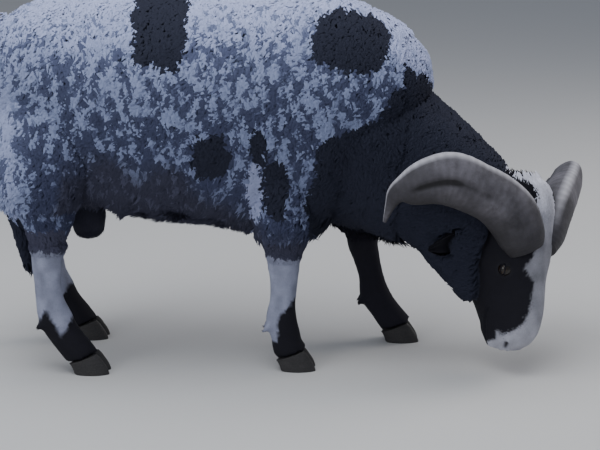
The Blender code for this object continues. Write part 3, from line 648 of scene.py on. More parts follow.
lids = {
    "around": 72,
    "rows": 16,
    "open": (0.0100, 0.0036, 0.0030),   # half length of the eye's opening, its height above and below
    "reach": 0.021,
    "rim": 0.0016,
    "wall": 0.0030,                     # how far the inner wall goes under the surface of the ball
    "fold": 0.0009,                     # height of the folds in the skin
    "far": 0.06,                        # how far out of the eye's middle the rays to the face start
}


def eyeAxes(sign):
    centre = Vector(mirrored(head["eye"], sign))
    out = Vector(mirrored(head["eyeOut"], sign)).normalized()
    along = Vector((1, 0, -0.10))
    along = (along - along.dot(out) * out).normalized()
    up = out.cross(along) * sign
    return centre, out, along, -up if up.z < 0 else up


def opening(angle):
    # a point on the margin of the eye's opening
    half, above, below = lids["open"]
    sin = math.sin(angle)
    high = above if sin > 0 else below
    return Vector((half * math.cos(angle), high * math.copysign(abs(sin) ** 1.25, sin)))


def makeLids(sign, headTree):
    centre, out, along, up = eyeAxes(sign)
    outWorld = headFrame.to_3x3() @ out
    radius, around, far = head["eyeRadius"], lids["around"], lids["far"]
    # the first ring is an inner wall, so that the margin has thickness
    rings = [[], *([] for _ in range(lids["rows"] + 1))]
    for angle in turns(around):
        sin = math.sin(angle)
        spot = opening(angle)
        height = math.sqrt(max(radius**2 - spot.length**2, 0.0)) - lids["wall"]
        rings[0].append(headFrame @ (centre + along * spot.x * 1.02 + up * spot.y * 1.02 + out * height))
        outer = Vector((lids["reach"] * math.cos(angle), lids["reach"] * 0.86 * sin))
        for row in range(lids["rows"] + 1):
            t = row / lids["rows"]
            spot = opening(angle).lerp(outer, t ** 1.3)
            start = headFrame @ (centre + out * far + along * spot.x + up * spot.y)
            hit = headTree.ray_cast(start, -outWorld.normalized())
            skin = far - ((hit[0] - start).length if hit[0] else far)
            flat = spot.length
            ball = math.sqrt(max(radius**2 - flat**2, 0.0)) if flat < radius else 0.0
            wrapped = ball + 0.0002 + lids["rim"] * math.sin(min(t / 0.16, 1.0) * math.pi / 2)
            blend = min(max((t - 0.12) / 0.62, 0.0), 1.0)
            blend = blend * blend * (3 - 2 * blend)
            fold = lids["fold"] * math.sin(t * 15) * math.exp(-((t - 0.45) / 0.25) ** 2)
            fold *= 1 if sin > 0 else 0.5
            height = wrapped * (1 - blend) + (skin - 0.0008 * t) * blend + fold
            rings[row + 1].append(headFrame @ (centre + along * spot.x + up * spot.y + out * height))
    mesh = fastMesh("lids", np.array(rings).reshape(-1, 3), ringFaces(len(rings), around))
    if sum(face.normal.dot(outWorld) for face in mesh.polygons) < 0:
        mesh.flip_normals()
    return place("lids", mesh)


ear = {
    "root": (0.070, 0.046, -0.052),
    "tip": (0.100, 0.152, -0.098),
    "opening": (0.35, 0.0, 0.94),
    "thickness": 0.0030,
    "stations": [
        # share of the length, half width, cup depth, how open the cup is
        (0.00, 0.012, 0.011, 0.0),
        (0.14, 0.014, 0.012, 0.0),
        (0.26, 0.020, 0.013, 0.7),
        (0.42, 0.026, 0.013, 1.0),
        (0.60, 0.027, 0.011, 1.0),
        (0.76, 0.022, 0.008, 1.0),
        (0.90, 0.013, 0.005, 1.0),
        (1.00, 0.004, 0.002, 1.0),
    ],
}


def makeEar(sign):
    root = mirrored(ear["root"], sign)
    length = mirrored(ear["tip"], sign) - root
    along = length / np.linalg.norm(length)
    facing = np.array(ear["opening"])
    facing = facing - facing.dot(along) * along
    facing /= np.linalg.norm(facing)
    across = np.cross(along, facing)
    u = np.linspace(-1, 1, 25)
    wall = ear["thickness"] / 2 * (0.4 + 0.6 * np.sqrt(np.maximum(0, 1 - u * u)))
    rings = []
    for share, half, cup, opened in through(ear["stations"], 44):
        bow = cup * (1 - u * u)
        back = np.outer(u * half, across) + np.outer(-bow - wall, facing)
        ripple = 0.0008 * np.sin(u * 9) * opened
        front = np.outer(u * half, across) + np.outer((1 - 2 * opened) * bow + wall + ripple, facing)
        rings.append(root + length * share + np.vstack([back, front[::-1]]))
    return place("ear form", closedMesh("ear", moved(np.array(rings), headFrame)))


# The skin: one mesh under the whole coat


def joinForms(name, forms, triangulated=False):
    # one object from many closed ones
    work = bmesh.new()
    for obj in forms:
        work.from_mesh(obj.data)
        bpy.data.objects.remove(obj)
    if triangulated:
        bmesh.ops.triangulate(work, faces=work.faces)
    mesh = bpy.data.meshes.new(name)
    work.to_mesh(mesh)
    work.free()
    return place(name, mesh)


def evaluated(obj):
    # the object's mesh with its modifiers applied and cleared
    graph = bpy.context.evaluated_depsgraph_get()
    mesh = bpy.data.meshes.new_from_object(obj.evaluated_get(graph))
    obj.modifiers.clear()
    obj.data = mesh
    return obj


def makeTorsoAndLegs():
    forms = [
        tubeRings(torsoStations(), 64, 72, ends=(0.012, 0.040), shrink=body["fleece"], squareness=2.25),
        tubeRings(body["neck"], 40, 56, ends=(0, 0.03), shrink=body["neckWool"]),
        tubeRings(body["scrotum"], 20, 32, ends=(0, 0.024)),
        tubeRings(body["tail"], 48, 28, ends=(0, 0.014), shrink=body["tailWool"]),
    ]
    for side, sign in sides.items():
        thigh = thighStations(sign, body["hindLegs"][side])
        arm = forearmStations(sign, *body["foreLegs"][side][:2])
        for stations, count in ((thigh, 32), (arm, 28)):
            forms.append(tubeRings(stations, count, 36, ends=(0.04, 0), shrink=body["legWool"]))
    for _, _, stations, hoofX in footPlaces():
        rings = tubeRings(stations, 56, 36)
        floor = coronet(rings[:, :, 0], hoofX) + 0.0015
        rings[:, :, 2] = np.maximum(rings[:, :, 2], floor)
        forms.append(rings)
        # two dewclaws behind the fetlock
        x, y, z = next(row[:3] for row in stations if row[2] < 0.115)
        for sign in (-1, 1):
            start = np.array([x - 0.016, y + sign * 0.013, z - 0.004])
            end = start + [-0.021, sign * 0.002, -0.017]
            rows = [(*(start + (end - start) * t), r, r, r) for t, r in hoof["dewclaw"]]
            forms.append(tubeRings(rows, 8, 14, ends=(0, 0.003)))
    skin = joinForms("body form", [place("form", closedMesh("form", rings)) for rings in forms])
    remesh = skin.modifiers.new("remesh", "REMESH")
    remesh.mode = "VOXEL"
    remesh.voxel_size = body["voxel"]
    smooth = skin.modifiers.new("smooth", "SMOOTH")
    smooth.factor = 0.5
    smooth.iterations = body["smoothing"]
    return evaluated(skin)


headSurfaces = []


def makeSkin():
    skin = makeTorsoAndLegs()
    print("body form", len(skin.data.polygons))
    parts = [makeHead()] + [makeEar(sign) for sign in (-1, 1)]
    graph = bpy.context.evaluated_depsgraph_get()
    headSurfaces.extend(BVHTree.FromObject(obj, graph) for obj in parts)
    collars = [makeLids(sign, headSurfaces[0]) for sign in (-1, 1)]
    group = bpy.data.collections.new("joined")
    bpy.context.scene.collection.children.link(group)
    for obj in parts:
        group.objects.link(obj)
    union = skin.modifiers.new("union", "BOOLEAN")
    union.operation = "UNION"
    union.operand_type = "COLLECTION"
    union.collection = group
    union.solver = "MANIFOLD"
    evaluated(skin)
    for obj in parts:
        bpy.data.objects.remove(obj)
    bpy.data.collections.remove(group)
    skin = joinForms("skin", [skin] + collars, triangulated=True)
    print("skin", len(skin.data.polygons))
    return skin


# Markings: colours of the coat at any point, the same for skin and tufts

coat = {
    # wool from white to dark, by how dark a fleck is
    "tones": [(0.0, (0.450, 0.495, 0.740)), (0.34, (0.272, 0.316, 0.490)), (0.66, (0.107, 0.123, 0.215)),
              (1.0, (0.044, 0.050, 0.096))],
    "grey": (0.052, 0.053, 0.084),
    "black": (0.0085, 0.0080, 0.0130),
    "blackWool": (0.0240, 0.0265, 0.0440),
    "faceWhite": (0.500, 0.500, 0.570),
    # the white of the lower legs, dimmed to blue-grey as painted shade near the ground
    "cannonWhiteInShade": (0.270, 0.285, 0.380),
    # how light the face's white is from poll to nose; under the horns partly stains, partly painted shadow
    "faceStainAndShade": [(-0.07, 1.35), (-0.02, 1.20), (0.03, 0.80), (0.07, 0.55), (0.13, 0.48), (0.18, 0.56),
                 (0.22, 0.68), (0.27, 0.82)],
    # black patches: side, x, way down from the midline of the back, half length, half height, squareness
    "patches": [
        ("right", -0.2355, 0.080, 0.0515, 0.105, 3.4),
        ("right", 0.125, 0.117, 0.0715, 0.069, 2.7),
        ("right", -0.143, 0.354, 0.034, 0.040, 2.8),
        ("right", -0.054, 0.336, 0.017, 0.034, 2.0),
        ("right", -0.020, 0.418, 0.026, 0.058, 2.3),
        ("right", 0.262, 0.181, 0.010, 0.010, 2.0),
        ("left", -0.244, 0.030, 0.060, 0.072, 3.0),
        ("left", -0.425, 0.195, 0.042, 0.088, 2.6),
        ("left", -0.392, 0.255, 0.046, 0.040, 2.4),
        ("left", 0.020, 0.190, 0.074, 0.066, 2.8),
        ("left", -0.020, 0.245, 0.040, 0.062, 2.4),
        ("left", -0.168, 0.345, 0.030, 0.048, 2.4),
        ("left", 0.060, 0.400, 0.032, 0.060, 2.0),
    ],
    "spur": ("right", -0.061, 0.418, 0.012, 0.055, 2.0),
    # where the black of the neck and chest begins: height, x
    "chestEdge": [(0.27, 0.048), (0.36, 0.037), (0.40, 0.053), (0.45, 0.055), (0.475, 0.075), (0.49, 0.140),
                  (0.505, 0.167), (0.53, 0.185), (0.56, 0.205), (0.575, 0.262), (0.60, 0.40)],
    # how dark the flecked wool is on the whole: height, share
    "fleckShare": [(0.30, 0.90), (0.40, 0.84), (0.45, 0.76), (0.50, 0.68), (0.55, 0.60), (0.60, 0.48),
                   (0.64, 0.38), (0.675, 0.23), (0.70, 0.13), (0.725, 0.04), (0.74, 0.015)],
    # lightest and darkest of its tones: height, level; the lightest darkens lower down, partly painted shade
    "lightest": [(0.36, 0.48), (0.455, 0.38), (0.525, 0.32), (0.56, 0.31), (0.64, 0.25), (0.69, 0.09),
                 (0.73, 0.0)],
    "darkest": [(0.36, 0.95), (0.50, 0.90), (0.58, 0.83), (0.66, 0.66), (0.72, 0.45)],
    # top of the plain grey of the belly: x, height
    "greyTop": [(-0.52, 0.29), (-0.47, 0.31), (-0.44, 0.35), (-0.418, 0.45), (-0.258, 0.453), (-0.15, 0.40),
                (-0.071, 0.352), (-0.04, 0.30), (0.10, 0.28)],
    # half width of the white blaze along the face
    "blaze": [(-0.075, 0.056), (-0.058, 0.052), (-0.046, 0.034), (-0.035, 0.025), (-0.014, 0.032),
              (0.02, 0.032), (0.06, 0.026), (0.095, 0.034), (0.114, 0.042), (0.126, 0.031), (0.143, 0.021),
              (0.177, 0.022), (0.201, 0.024), (0.224, 0.030), (0.244, 0.038), (0.255, 0.043), (0.266, 0.055),
              (0.29, 0.080)],
    # lower edge of the white of a hind leg, from its back to its front, and its black foot
    "hindZigzag": [(-0.030, 0.104), (-0.016, 0.100), (0.002, 0.135), (0.016, 0.112), (0.030, 0.082),
                   (0.044, 0.100), (0.056, 0.122), (0.080, 0.120)],
}


def readOff(values, table):
    return np.interp(values, *zip(*table))


def lerp(first, second, share):
    share = np.clip(share, 0, 1)[:, None]
    return first * (1 - share) + second * share


# the parts of the ram that differ in coat
torsoPart, neckPart, headPart, tailPart, rightHind, leftHind, rightFore, leftFore, scrotumPart = range(9)


def regionsOf(points):
    x, y, z = points.T
    region = np.full(len(points), torsoPart)
    region[x > 0.215] = neckPart
    eyes = [np.array(headFrame @ Vector(mirrored(head["eye"], sign))) for sign in (-1, 1)]
    for index in np.flatnonzero(x > head["rearmost"]):
        point = points[index]
        if (min(np.linalg.norm(point - eye) for eye in eyes) < head["eyeReach"]
                or any(tree.find_nearest(point, head["skinReach"])[0] is not None for tree in headSurfaces)):
            region[index] = headPart
    aside = np.abs(y)
    region[(aside < 0.036) & (((x < -0.545) & (z < 0.64)) | ((x < -0.485) & (z < 0.385)))] = tailPart
    for leg, high, sign, back, front in (
            (rightHind, 0.36, -1, -0.70, -0.36), (leftHind, 0.36, 1, -0.70, -0.36),
            (rightFore, 0.29, -1, -0.10, 0.06), (leftFore, 0.29, 1, 0.02, 0.30)):
        region[(z < high) & (y * sign > 0.03) & (x > back) & (x < front) & (region != tailPart)] = leg
    region[(aside < 0.045) & (z < 0.335) & (x > -0.46) & (x < -0.35)] = scrotumPart
    return region


def onLeg(region):
    return (region >= rightHind) & (region <= leftFore)


def wayDown(points):
    # from the midline of the back down the right side; negative on the left
    down = body["backHeight"] - points[:, 2] + 0.35 * np.abs(points[:, 1])
    return np.where(points[:, 1] < 0, down, -down)


def inPatch(points, patch, wobble):
    side, x, down, halfX, halfDown, squareness = patch
    middle = down if side == "right" else -down
    away = (np.abs((points[:, 0] - x) / halfX) ** squareness
            + np.abs((wayDown(points) - middle) / halfDown) ** squareness) ** (1 / squareness)
    return away + wobble < 1.0


def toned(level):
    channels = [[(stop, tone[k]) for stop, tone in coat["tones"]] for k in range(3)]
    return np.stack([readOff(level, channel) for channel in channels], axis=1)


def fleckLevel(points, scatterShare):
    # how dark the flecked wool is, from 0 to 1: small upright flecks over broader clouds
    x, _, z = points.T
    fine = noise(points, (150, 150, 66), 3)
    streaks = noise(points, (120, 120, 22), 9)
    breech = ramp(-0.475 - x, 0.05) * ramp(0.60 - z, 0.08)
    grain = (0.84 * (fine * (1 - breech) + streaks * breech) + 0.10 * noise(points, (76, 76, 46), 4)
             + 0.06 * noise(points, 30, 5) + scatterShare)
    share = readOff(z + 0.06 * swing(points, 8, 6), coat["fleckShare"]) * (1 - 0.80 * breech)
    # fewer flecks low on the shoulder, and more above it
    front = ramp(x + 0.09, 0.06) * ramp(0.52 - z, 0.05) * (z > 0.31)
    share = share * (1 - front) + 0.46 * front
    upper = ramp(x + 0.12, 0.08) * ramp(z - 0.55, 0.04) * ramp(0.68 - z, 0.04)
    share = np.clip(share + 0.07 * upper, 0.004, 0.996)
    # the limit under which the grain lies at just this share of places
    limit = 0.5 + 0.142 * np.log(share / (1 - share)) / 1.7
    level = np.clip((limit - grain) * 7.0 + 0.5, 0, 1)
    # the light wool turns blue-grey lower down, partly its own tone and partly painted shade from above,
    # and the dark flecks are paler higher up
    lightest = readOff(z + 0.05 * swing(points, 26, 7), coat["lightest"]) * (1 - 0.6 * breech)
    darkest = readOff(z, coat["darkest"]) * (1 - 0.30 * breech)
    return lightest + (darkest - lightest) * level * level * (3 - 2 * level)


def coatColours(points, region, scatterShare=0.0):
    x, _, z = points.T
    along, aside, up = moved(points, headInverse).T
    grey, black, woolBlack = (np.array(coat[key]) for key in ("grey", "black", "blackWool"))
    # the face's white with its stains, painted shadow of the horns and a mottled tone
    faceStainAndShade = readOff(along, coat["faceStainAndShade"]) * (0.72 + 0.56 * noise(points, (60, 60, 36), 18))
    faceWhite = faceStainAndShade[:, None] * np.array(coat["faceWhite"])
    wobble = 0.20 * swing(points, 32, 1) + 0.24 * swing(points, (90, 90, 50), 2) + 1.2 * scatterShare
    level = fleckLevel(points, scatterShare)
    made = toned(level)
    # the belly and lower flank turn to a plain grey, with a few light flecks left
    greyTop = readOff(x, coat["greyTop"]) + 0.05 * swing(points, 16, 8)
    belly = ramp(greyTop - z, 0.045) * (region == torsoPart)
    made = lerp(made, grey[None] * (1.6 - 0.8 * level[:, None]), belly * np.clip(level * 2.2, 0.25, 0.92))
    for patch in coat["patches"]:
        made[inPatch(points, patch, wobble)] = woolBlack
    made[inPatch(points, coat["spur"], wobble)] = np.array(coat["tones"][0][1]) * 0.8
    chestEdge = readOff(z, coat["chestEdge"]) + 0.05 * wobble
    made[(x > chestEdge) & (region <= neckPart) | (region == neckPart)] = woolBlack
    crest = (z - 0.575 + (x - 0.262) * 0.9 + 0.04 * wobble > 0) & (region <= neckPart) & (x > 0.15)
    for index in (1, 5):
        crest &= ~inPatch(points, coat["patches"][index], wobble)
    made[crest] = toned(np.clip(level - 0.55, 0, 1))[crest]
    # the nape's white runs on from the blaze over the poll
    nape = (region == neckPart) & (aside > -0.052 - 0.03 * wobble) & (aside < 0.055) & (up > -0.05)
    nape &= (x > 0.427) & (along < 0.03)
    # the head: a black mask with a white blaze that widens over the nose
    upperLip = along > 0.262 - 0.35 * np.minimum(up, 0)
    blaze = (region == headPart) & (np.abs(aside) < readOff(along, coat["blaze"]) + 0.012 * wobble)
    blaze &= (up > 0) | (upperLip & (up > -0.030))
    made[region == headPart] = black
    made[nape | blaze] = faceWhite[nape | blaze]
    inTail = region == tailPart
    made[inTail] = toned(np.clip(level - 0.45, 0, 1))[inTail]
    made[inTail & (z < 0.285 + 0.05 * wobble)] = woolBlack
    made[region == scrotumPart] = grey * 0.5
    colourLegs(made, points, region, wobble, level)
    return made


def colourLegs(made, points, region, wobble, level):
    x, _, z = points.T
    cannon, grey, black = (np.array(coat[key]) for key in ("cannonWhiteInShade", "grey", "black"))
    # the lower legs' white with painted shade near the ground, and a mottled tone
    cannon = cannon * (0.72 + 0.60 * noise(points, (70, 70, 34), 17))[:, None]
    for leg, side, shift in ((rightHind, "right", 0.0), (leftHind, "left", 0.012)):
        here = region == leg
        made[here] = toned(level)[here]
        made[here & (z < 0.292 + 0.06 * wobble)] = grey * 1.3
        low = here & (z < 0.242 + 0.06 * wobble)
        made[low] = cannon[low]
        edge = readOff(x - body["hindLegs"][side] + shift, coat["hindZigzag"])
        made[here & (z < edge + 0.035 * wobble)] = black
    here = region == rightFore
    made[here & (z < 0.318 + 0.05 * wobble)] = grey * 1.2
    low = here & (z < 0.226 + 0.05 * wobble)
    made[low] = cannon[low]
    made[here & (z < 0.160 + (x - 0.026) * 1.12 + 0.03 * wobble) & (x > -0.020 + 0.02 * wobble)] = black
    made[here & (z < 0.064 + 0.04 * wobble)] = black
    made[region == leftFore] = black * 1.5


# Tufts: thin curved locks in arrays, joined into a few meshes

tuftSizes = ("density", "length", "width", "thickness", "rise", "curl")
tuft = {
    # roots to each square metre, length, half width, half thickness, rise over the skin, sideways curl
    "wool": (78000, 0.031, 0.0033, 0.0019, 0.0225, 0.0040),
    "neck": (90000, 0.028, 0.0030, 0.0019, 0.0168, 0.0036),
    "leg": (90000, 0.022, 0.0026, 0.0018, 0.0125, 0.0024),
    "tail": (90000, 0.034, 0.0028, 0.0019, 0.0088, 0.0036),
    "nape": (110000, 0.024, 0.0021, 0.0014, 0.0055, 0.0026),
    "cheek": (110000, 0.024, 0.0021, 0.0014, 0.0055, 0.0026),
    "hair": (260000, 0.0115, 0.0012, 0.0007, 0.0019, 0.0),
    "relief": 0.40,                    # how much a lock's own form shows in its shading
    "trianglesPerPiece": 190000,
    "quickShare": 0.35,
    "quickWidth": 1.6,
    "sink": 0.0015,                    # how deep a root lies in the skin
    "uvSpread": 0.0015,                # half the width of a lock on the unwrap
    "seenAt": 0.62,                    # the share of a lock's length where its marking is read
    "earGap": 0.0065,                  # a lock of the neck or cheeks that comes nearer to an ear is left out
    # each ring's place along, out and aside, and its share of the width
    "woolLevels": [(0.0, 0.0, 0.0, 0.70), (0.60, 1.0, 1.0, 1.0), (1.0, 0.84, -0.5, 0.0)],
    "hairLevels": [(0.0, 0.0, 0.0, 1.0), (1.0, 1.0, 0.0, 0.0)],
}


def surfaceOf(mesh):
    mesh.calc_loop_triangles()
    corners = np.empty(len(mesh.loop_triangles) * 3, np.int32)
    mesh.loop_triangles.foreach_get("vertices", corners)
    return vertexValues(mesh), corners.reshape(-1, 3)


def scatter(points, triangles, density):
    # roots by chance over the surface, as dense as is said for each triangle
    a, b, c = (points[triangles[:, k]] for k in range(3))
    cross = np.cross(b - a, c - a)
    area = np.linalg.norm(cross, axis=1) / 2
    wanted = area * density
    counts = np.floor(wanted + dice.random(len(wanted))).astype(int)
    which = np.repeat(np.arange(len(triangles)), counts)
    u, v = dice.random((2, len(which)))
    over = u + v > 1
    u[over], v[over] = 1 - u[over], 1 - v[over]
    roots = a[which] + (b - a)[which] * u[:, None] + (c - a)[which] * v[:, None]
    outs = cross[which] / (2 * area[which] + 1e-12)[:, None]
    return roots, outs, which


def unwrapAt(points, region):
    # where a root lies on an unwrap of the skin: one cell of the map for each part of the body
    x, y, z = points.T
    along, aside, up = moved(points, headInverse).T
    cells = {
        # left, low, wide, high, share of the length, then the two distances that give the turn around it
        torsoPart: (0.01, 0.01, 0.50, 0.80, (x + 0.58) / 0.82, y, z - 0.50),
        neckPart: (0.52, 0.01, 0.24, 0.60, (x - 0.20) / 0.24, y + 0.02, (z - 0.36) + (x - 0.30) * 0.7),
        headPart: (0.77, 0.01, 0.22, 0.36, (along + 0.06) / 0.36, aside, up),
        tailPart: (0.52, 0.63, 0.10, 0.36, (z - 0.17) / 0.50, y, -0.560 - x),
        rightHind: (0.63, 0.63, 0.17, 0.17, z / 0.37, y + 0.112, x + 0.46),
        leftHind: (0.63, 0.81, 0.17, 0.17, z / 0.37, y - 0.112, x + 0.49),
        rightFore: (0.82, 0.63, 0.17, 0.17, z / 0.31, y + 0.092, x),
        leftFore: (0.82, 0.81, 0.17, 0.17, z / 0.31, y - 0.092, x - 0.12),
        scrotumPart: (0.77, 0.40, 0.08, 0.12, (z - 0.23) / 0.12, y, x + 0.40),
    }
    uv = np.zeros((len(points), 2))
    for part, (left, low, wide, high, share, side, rise) in cells.items():
        around = np.arctan2(side, rise) / (2 * math.pi) + 0.5
        here = region == part
        uv[here, 0] = left + wide * np.clip(share[here], 0, 1)
        uv[here, 1] = low + high * np.clip(around[here], 0, 1)
    return uv


def lieAt(points, outs, region):
    # the way the coat lies at each root
    lie = np.tile([-0.42, 0.0, -1.0], (len(points), 1))
    # the throat's wool lies back along the neck, the sides' wool hangs
    throat = np.clip(-1.6 * outs[:, 2], 0, 1)[:, None]
    neckLie = (1 - throat) * np.array([-0.75, 0.0, -0.85]) + throat * np.array([-0.95, 0.0, 0.10])
    lie[region == neckPart] = neckLie[region == neckPart]
    lie[region == headPart] = np.array(headFrame.to_3x3() @ Vector((-1.0, 0.0, -0.25)))
    lie[region == tailPart] = (0.05, 0.0, -1.0)
    lie[region >= rightHind] = (-0.05, 0.0, -1.0)
    # the back's wool parts softly along the spine
    top = (region == torsoPart) & (outs[:, 2] > 0.5)
    lie[top, 1] += np.clip(points[top, 1] / 0.07, -1, 1) * 0.5
    swirl = np.stack([swing(points, 12, seed) for seed in (11, 12, 13)], axis=1)
    curls = np.stack([swing(points, 46, seed) for seed in (14, 15, 16)], axis=1)
    woolly = np.where(region == headPart, 0.0, np.where(region == neckPart, 0.25, 1.0))[:, None]
    lie = lie + swirl * (0.35 + 0.45 * woolly) + curls * (0.2 + 0.65 * woolly)
    lie -= (lie * outs).sum(axis=1)[:, None] * outs
    return lie / (np.linalg.norm(lie, axis=1)[:, None] + 1e-9)


def growth(points, outs, region):
    # how much longer and fuller the wool is at each root, and how far its tips hang
    x, _, z = points.T
    longer = 1 + 0.55 * ramp(-0.49 - x, 0.04) * (z < 0.60) * (region == torsoPart)
    knee = np.where(x < -0.3, 0.240, 0.222)
    fuller = np.where(onLeg(region), np.clip((z - knee) / 0.050, 0.10, 1.0), 1.0)
    along = moved(points, headInverse)[:, 0]
    fuller = np.where(region == headPart, np.clip((head["woolTo"] - along) / 0.050, 0.12, 1.0), fuller)
    fuller *= 0.84 + 0.26 * noise(points, 44, 21)
    under = np.clip(-outs[:, 2] - 0.10, 0, 0.8) * (region == torsoPart)
    return longer + 0.4 * under, fuller, 0.040 * under * noise(points, 26, 22)


def buildTufts(name, roots, outs, lies, region, colours, sizes, levels):
    # levels hold how far each ring stands along, out and aside, and its share of the width
    count = len(roots)
    aside = np.cross(outs, lies)
    longer, fuller, hang = growth(roots, outs, region)
    length = sizes["length"] * dice.uniform(0.72, 1.18, count) * longer * (0.4 + 0.6 * fuller)
    rise = sizes["rise"] * dice.uniform(0.92, 1.03, count) * fuller
    width = sizes["width"] * dice.uniform(0.75, 1.2, count)
    curl = sizes["curl"] * dice.normal(0, 1, count)
    thick = sizes["thickness"] / sizes["width"]
    uvRoot = unwrapAt(roots, region)
    mark = dice.random(count)
    rings, uvs, shades, strands, normals = [], [], [], [], []
    corners = [(1.0, -0.35), (-1.0, -0.35), (0.0, 1.0)]
    for index, (along, out, side, wide) in enumerate(levels):
        middle = roots + lies * (length * along)[:, None] + outs * (rise * out - tuft["sink"])[:, None]
        middle = middle + aside * (curl * side)[:, None]
        middle[:, 2] -= hang * along**1.5
        lean = 0.8 if out > 0.8 else 0.35
        lift = outs * lean + lies * (lean - 1)
        lift /= np.linalg.norm(lift, axis=1)[:, None]
        share = index / (len(levels) - 1)
        for cornerSide, cornerOut in corners[:1] if wide == 0 else corners:
            rings.append(middle + aside * (width * wide * cornerSide)[:, None]
                         + lift * (width * wide * thick * cornerOut)[:, None])
            uvs.append(uvRoot + tuft["uvSpread"] * np.array([cornerSide, 2 * share - 1]))
            # darker towards the root: painted shade deep in the coat
            shades.append(0.70 + 0.30 * min(along * 1.5, 1.0))
            own = lies if wide == 0 else aside * cornerSide + lift * cornerOut
            normals.append(outs + tuft["relief"] * own)
            across = 0.0 if wide == 0 else cornerSide + 2.0 * (cornerOut > 0)
            strand = [mark * 90 + across * 1.1, np.full(count, along * 1.3), mark * 37]
            strands.append(np.stack(strand, axis=1))
    each = len(rings)
    points = np.stack(rings, axis=1).reshape(-1, 3)
    faces = [(0, 1, 2)]
    for level in range(len(levels) - 2):
        for k in range(3):
            a, b = level * 3 + k, level * 3 + (k + 1) % 3
            faces += [(a, b + 3, b), (a, a + 3, b + 3)]
    last = (len(levels) - 2) * 3
    faces += [(last + k, last + 3, last + (k + 1) % 3) for k in range(3)]
    allFaces = (np.array(faces)[None] + (np.arange(count) * each)[:, None, None]).reshape(-1, 3)
    mesh = fastMesh(name, points, allFaces)
    uvPoints = np.stack(uvs, axis=1).reshape(-1, 2)
    layer = mesh.uv_layers.new(name="OFBake")
    layer.data.foreach_set("uv", uvPoints[allFaces.ravel()].astype(np.float32).ravel())
    tone = dice.uniform(0.93, 1.07, count)[:, None, None] * np.array(shades)[None, :, None]
    setColours(mesh, "coat", (colours[:, None, :] * tone).reshape(-1, 3))
    layer = mesh.attributes.new("strand", "FLOAT_VECTOR", "POINT")
    layer.data.foreach_set("vector", np.stack(strands, axis=1).astype(np.float32).ravel())
    obj = place(name, mesh)
    # each lock is shaded mostly as the surface it lies on, as a soft coat is
    normals = np.stack(normals, axis=1).reshape(-1, 3)
    normals /= np.linalg.norm(normals, axis=1)[:, None]
    mesh.normals_split_custom_set_from_vertices(normals.tolist())
    return obj


def bareSpots(inHead):
    # no tufts on the nose, in the nostrils and mouth or against the eyes
    bare = awayFrom(inHead[:, [0, 2]], head["mouth"])[0] < 0.0020
    for sign in (-1, 1):
        bare |= np.linalg.norm(inHead - mirrored(head["eye"], sign), axis=1) < head["eyeRadius"] + 0.0050
        bare |= awayFrom(inHead, mirrored(head["nostril"], sign))[0] < 0.0060
    return bare | ((inHead[:, 0] > 0.2775) & (inHead[:, 0] < 0.32) & (np.abs(inHead[:, 2]) < 0.016))


def overEar(roots, lies, outs, sizes):
    # the locks that would lie across an ear or poke through it
    near = np.zeros(len(roots), bool)
    for share in (0.35, 0.7, 1.0):
        points = roots + lies * sizes["length"] * share + outs * sizes["rise"] * (1.2 - share)
        for index in np.flatnonzero((points[:, 0] > head["rearmost"]) & ~near):
            found = [tree.find_nearest(points[index], tuft["earGap"])[0] for tree in headSurfaces[1:]]
            near[index] = any(spot is not None for spot in found)
    return near


def makeCoat(skin, paint):
    points, triangles = surfaceOf(skin.data)
    middles = points[triangles].mean(axis=1)
    region = regionsOf(middles)
    along, _, up = moved(middles, headInverse).T
    woolly = onLeg(region) & (middles[:, 2] > np.where(middles[:, 0] < -0.3, 0.245, 0.226))
    back = (region == headPart) & (along < head["woolTo"])
    short = (region == headPart) & ~back | onLeg(region) & ~woolly | (region == scrotumPart)
    kinds = {"wool": (region == torsoPart, "mottled wool"), "neck": (region == neckPart, "black wool"),
             "tail": (region == tailPart, "white wool"), "leg": (woolly, "mottled wool"),
             "nape": (back & (up > 0), "white hair"), "cheek": (back & (up <= 0), "black wool"),
             "hair": (short, "black hair")}
    for kind, (wanted, slot) in kinds.items():
        sizes = dict(zip(tuftSizes, tuft[kind]))
        roots, outs, which = scatter(points, triangles, wanted * sizes["density"])
        keep = ~bareSpots(moved(roots, headInverse))
        roots, outs, parts = roots[keep], outs[keep], region[which[keep]]
        lies = lieAt(roots, outs, parts)
        if kind in ("neck", "cheek"):
            keep = ~overEar(roots, lies, outs, sizes)
            roots, outs, parts, lies = roots[keep], outs[keep], parts[keep], lies[keep]
        # the marking is read where the lock is seen, not at its root
        seen = roots + lies * sizes["length"] * tuft["seenAt"] + outs * sizes["rise"]
        colours = coatColours(seen, parts, dice.normal(0, 0.012, len(roots)))
        levels = tuft["hairLevels" if kind == "hair" else "woolLevels"]
        each = 6 * len(levels) - 8
        order = np.argsort(roots[:, 0], kind="stable")
        pieces = -(-len(order) // (tuft["trianglesPerPiece"] // each))
        for number, part in enumerate(np.array_split(order, pieces)):
            obj = buildTufts(f"coat_{kind}_{number}", roots[part], outs[part], lies[part], parts[part],
                             colours[part], sizes, levels)
            settle(obj, paint)
        print(kind, len(roots), "locks of", each, "triangles")


def makeCoatPaint():
    paint = Paint("wool locks")
    fibre = paint.noise(paint.attribute("strand", "Vector"), 3.2, 3.0, 0.7)
    tone = paint.lit(paint.attribute("coat", "Color"), fibre * 0.6 + 0.70)
    return paint.finish(tone, 0.88, paint.bump(fibre, 0.7, 0.0012), {"Specular IOR Level": 0.16})


def makeSkinPaint():
    paint = Paint("skin and short hair")
    coords = paint.coords()
    fine = paint.noise(coords, 620.0, 3.0)
    broad = paint.noise(coords, 70.0, 3.0)
    tone = paint.lit(paint.attribute("coat", "Color"), fine * 0.5 + broad * 0.4 + 0.5)
    normal = paint.bump(fine * 0.7 + broad * 0.3, 0.5, 0.0012)
    return paint.finish(tone, 0.80 - paint.attribute("wet") * 0.44, normal, {"Specular IOR Level": 0.22})


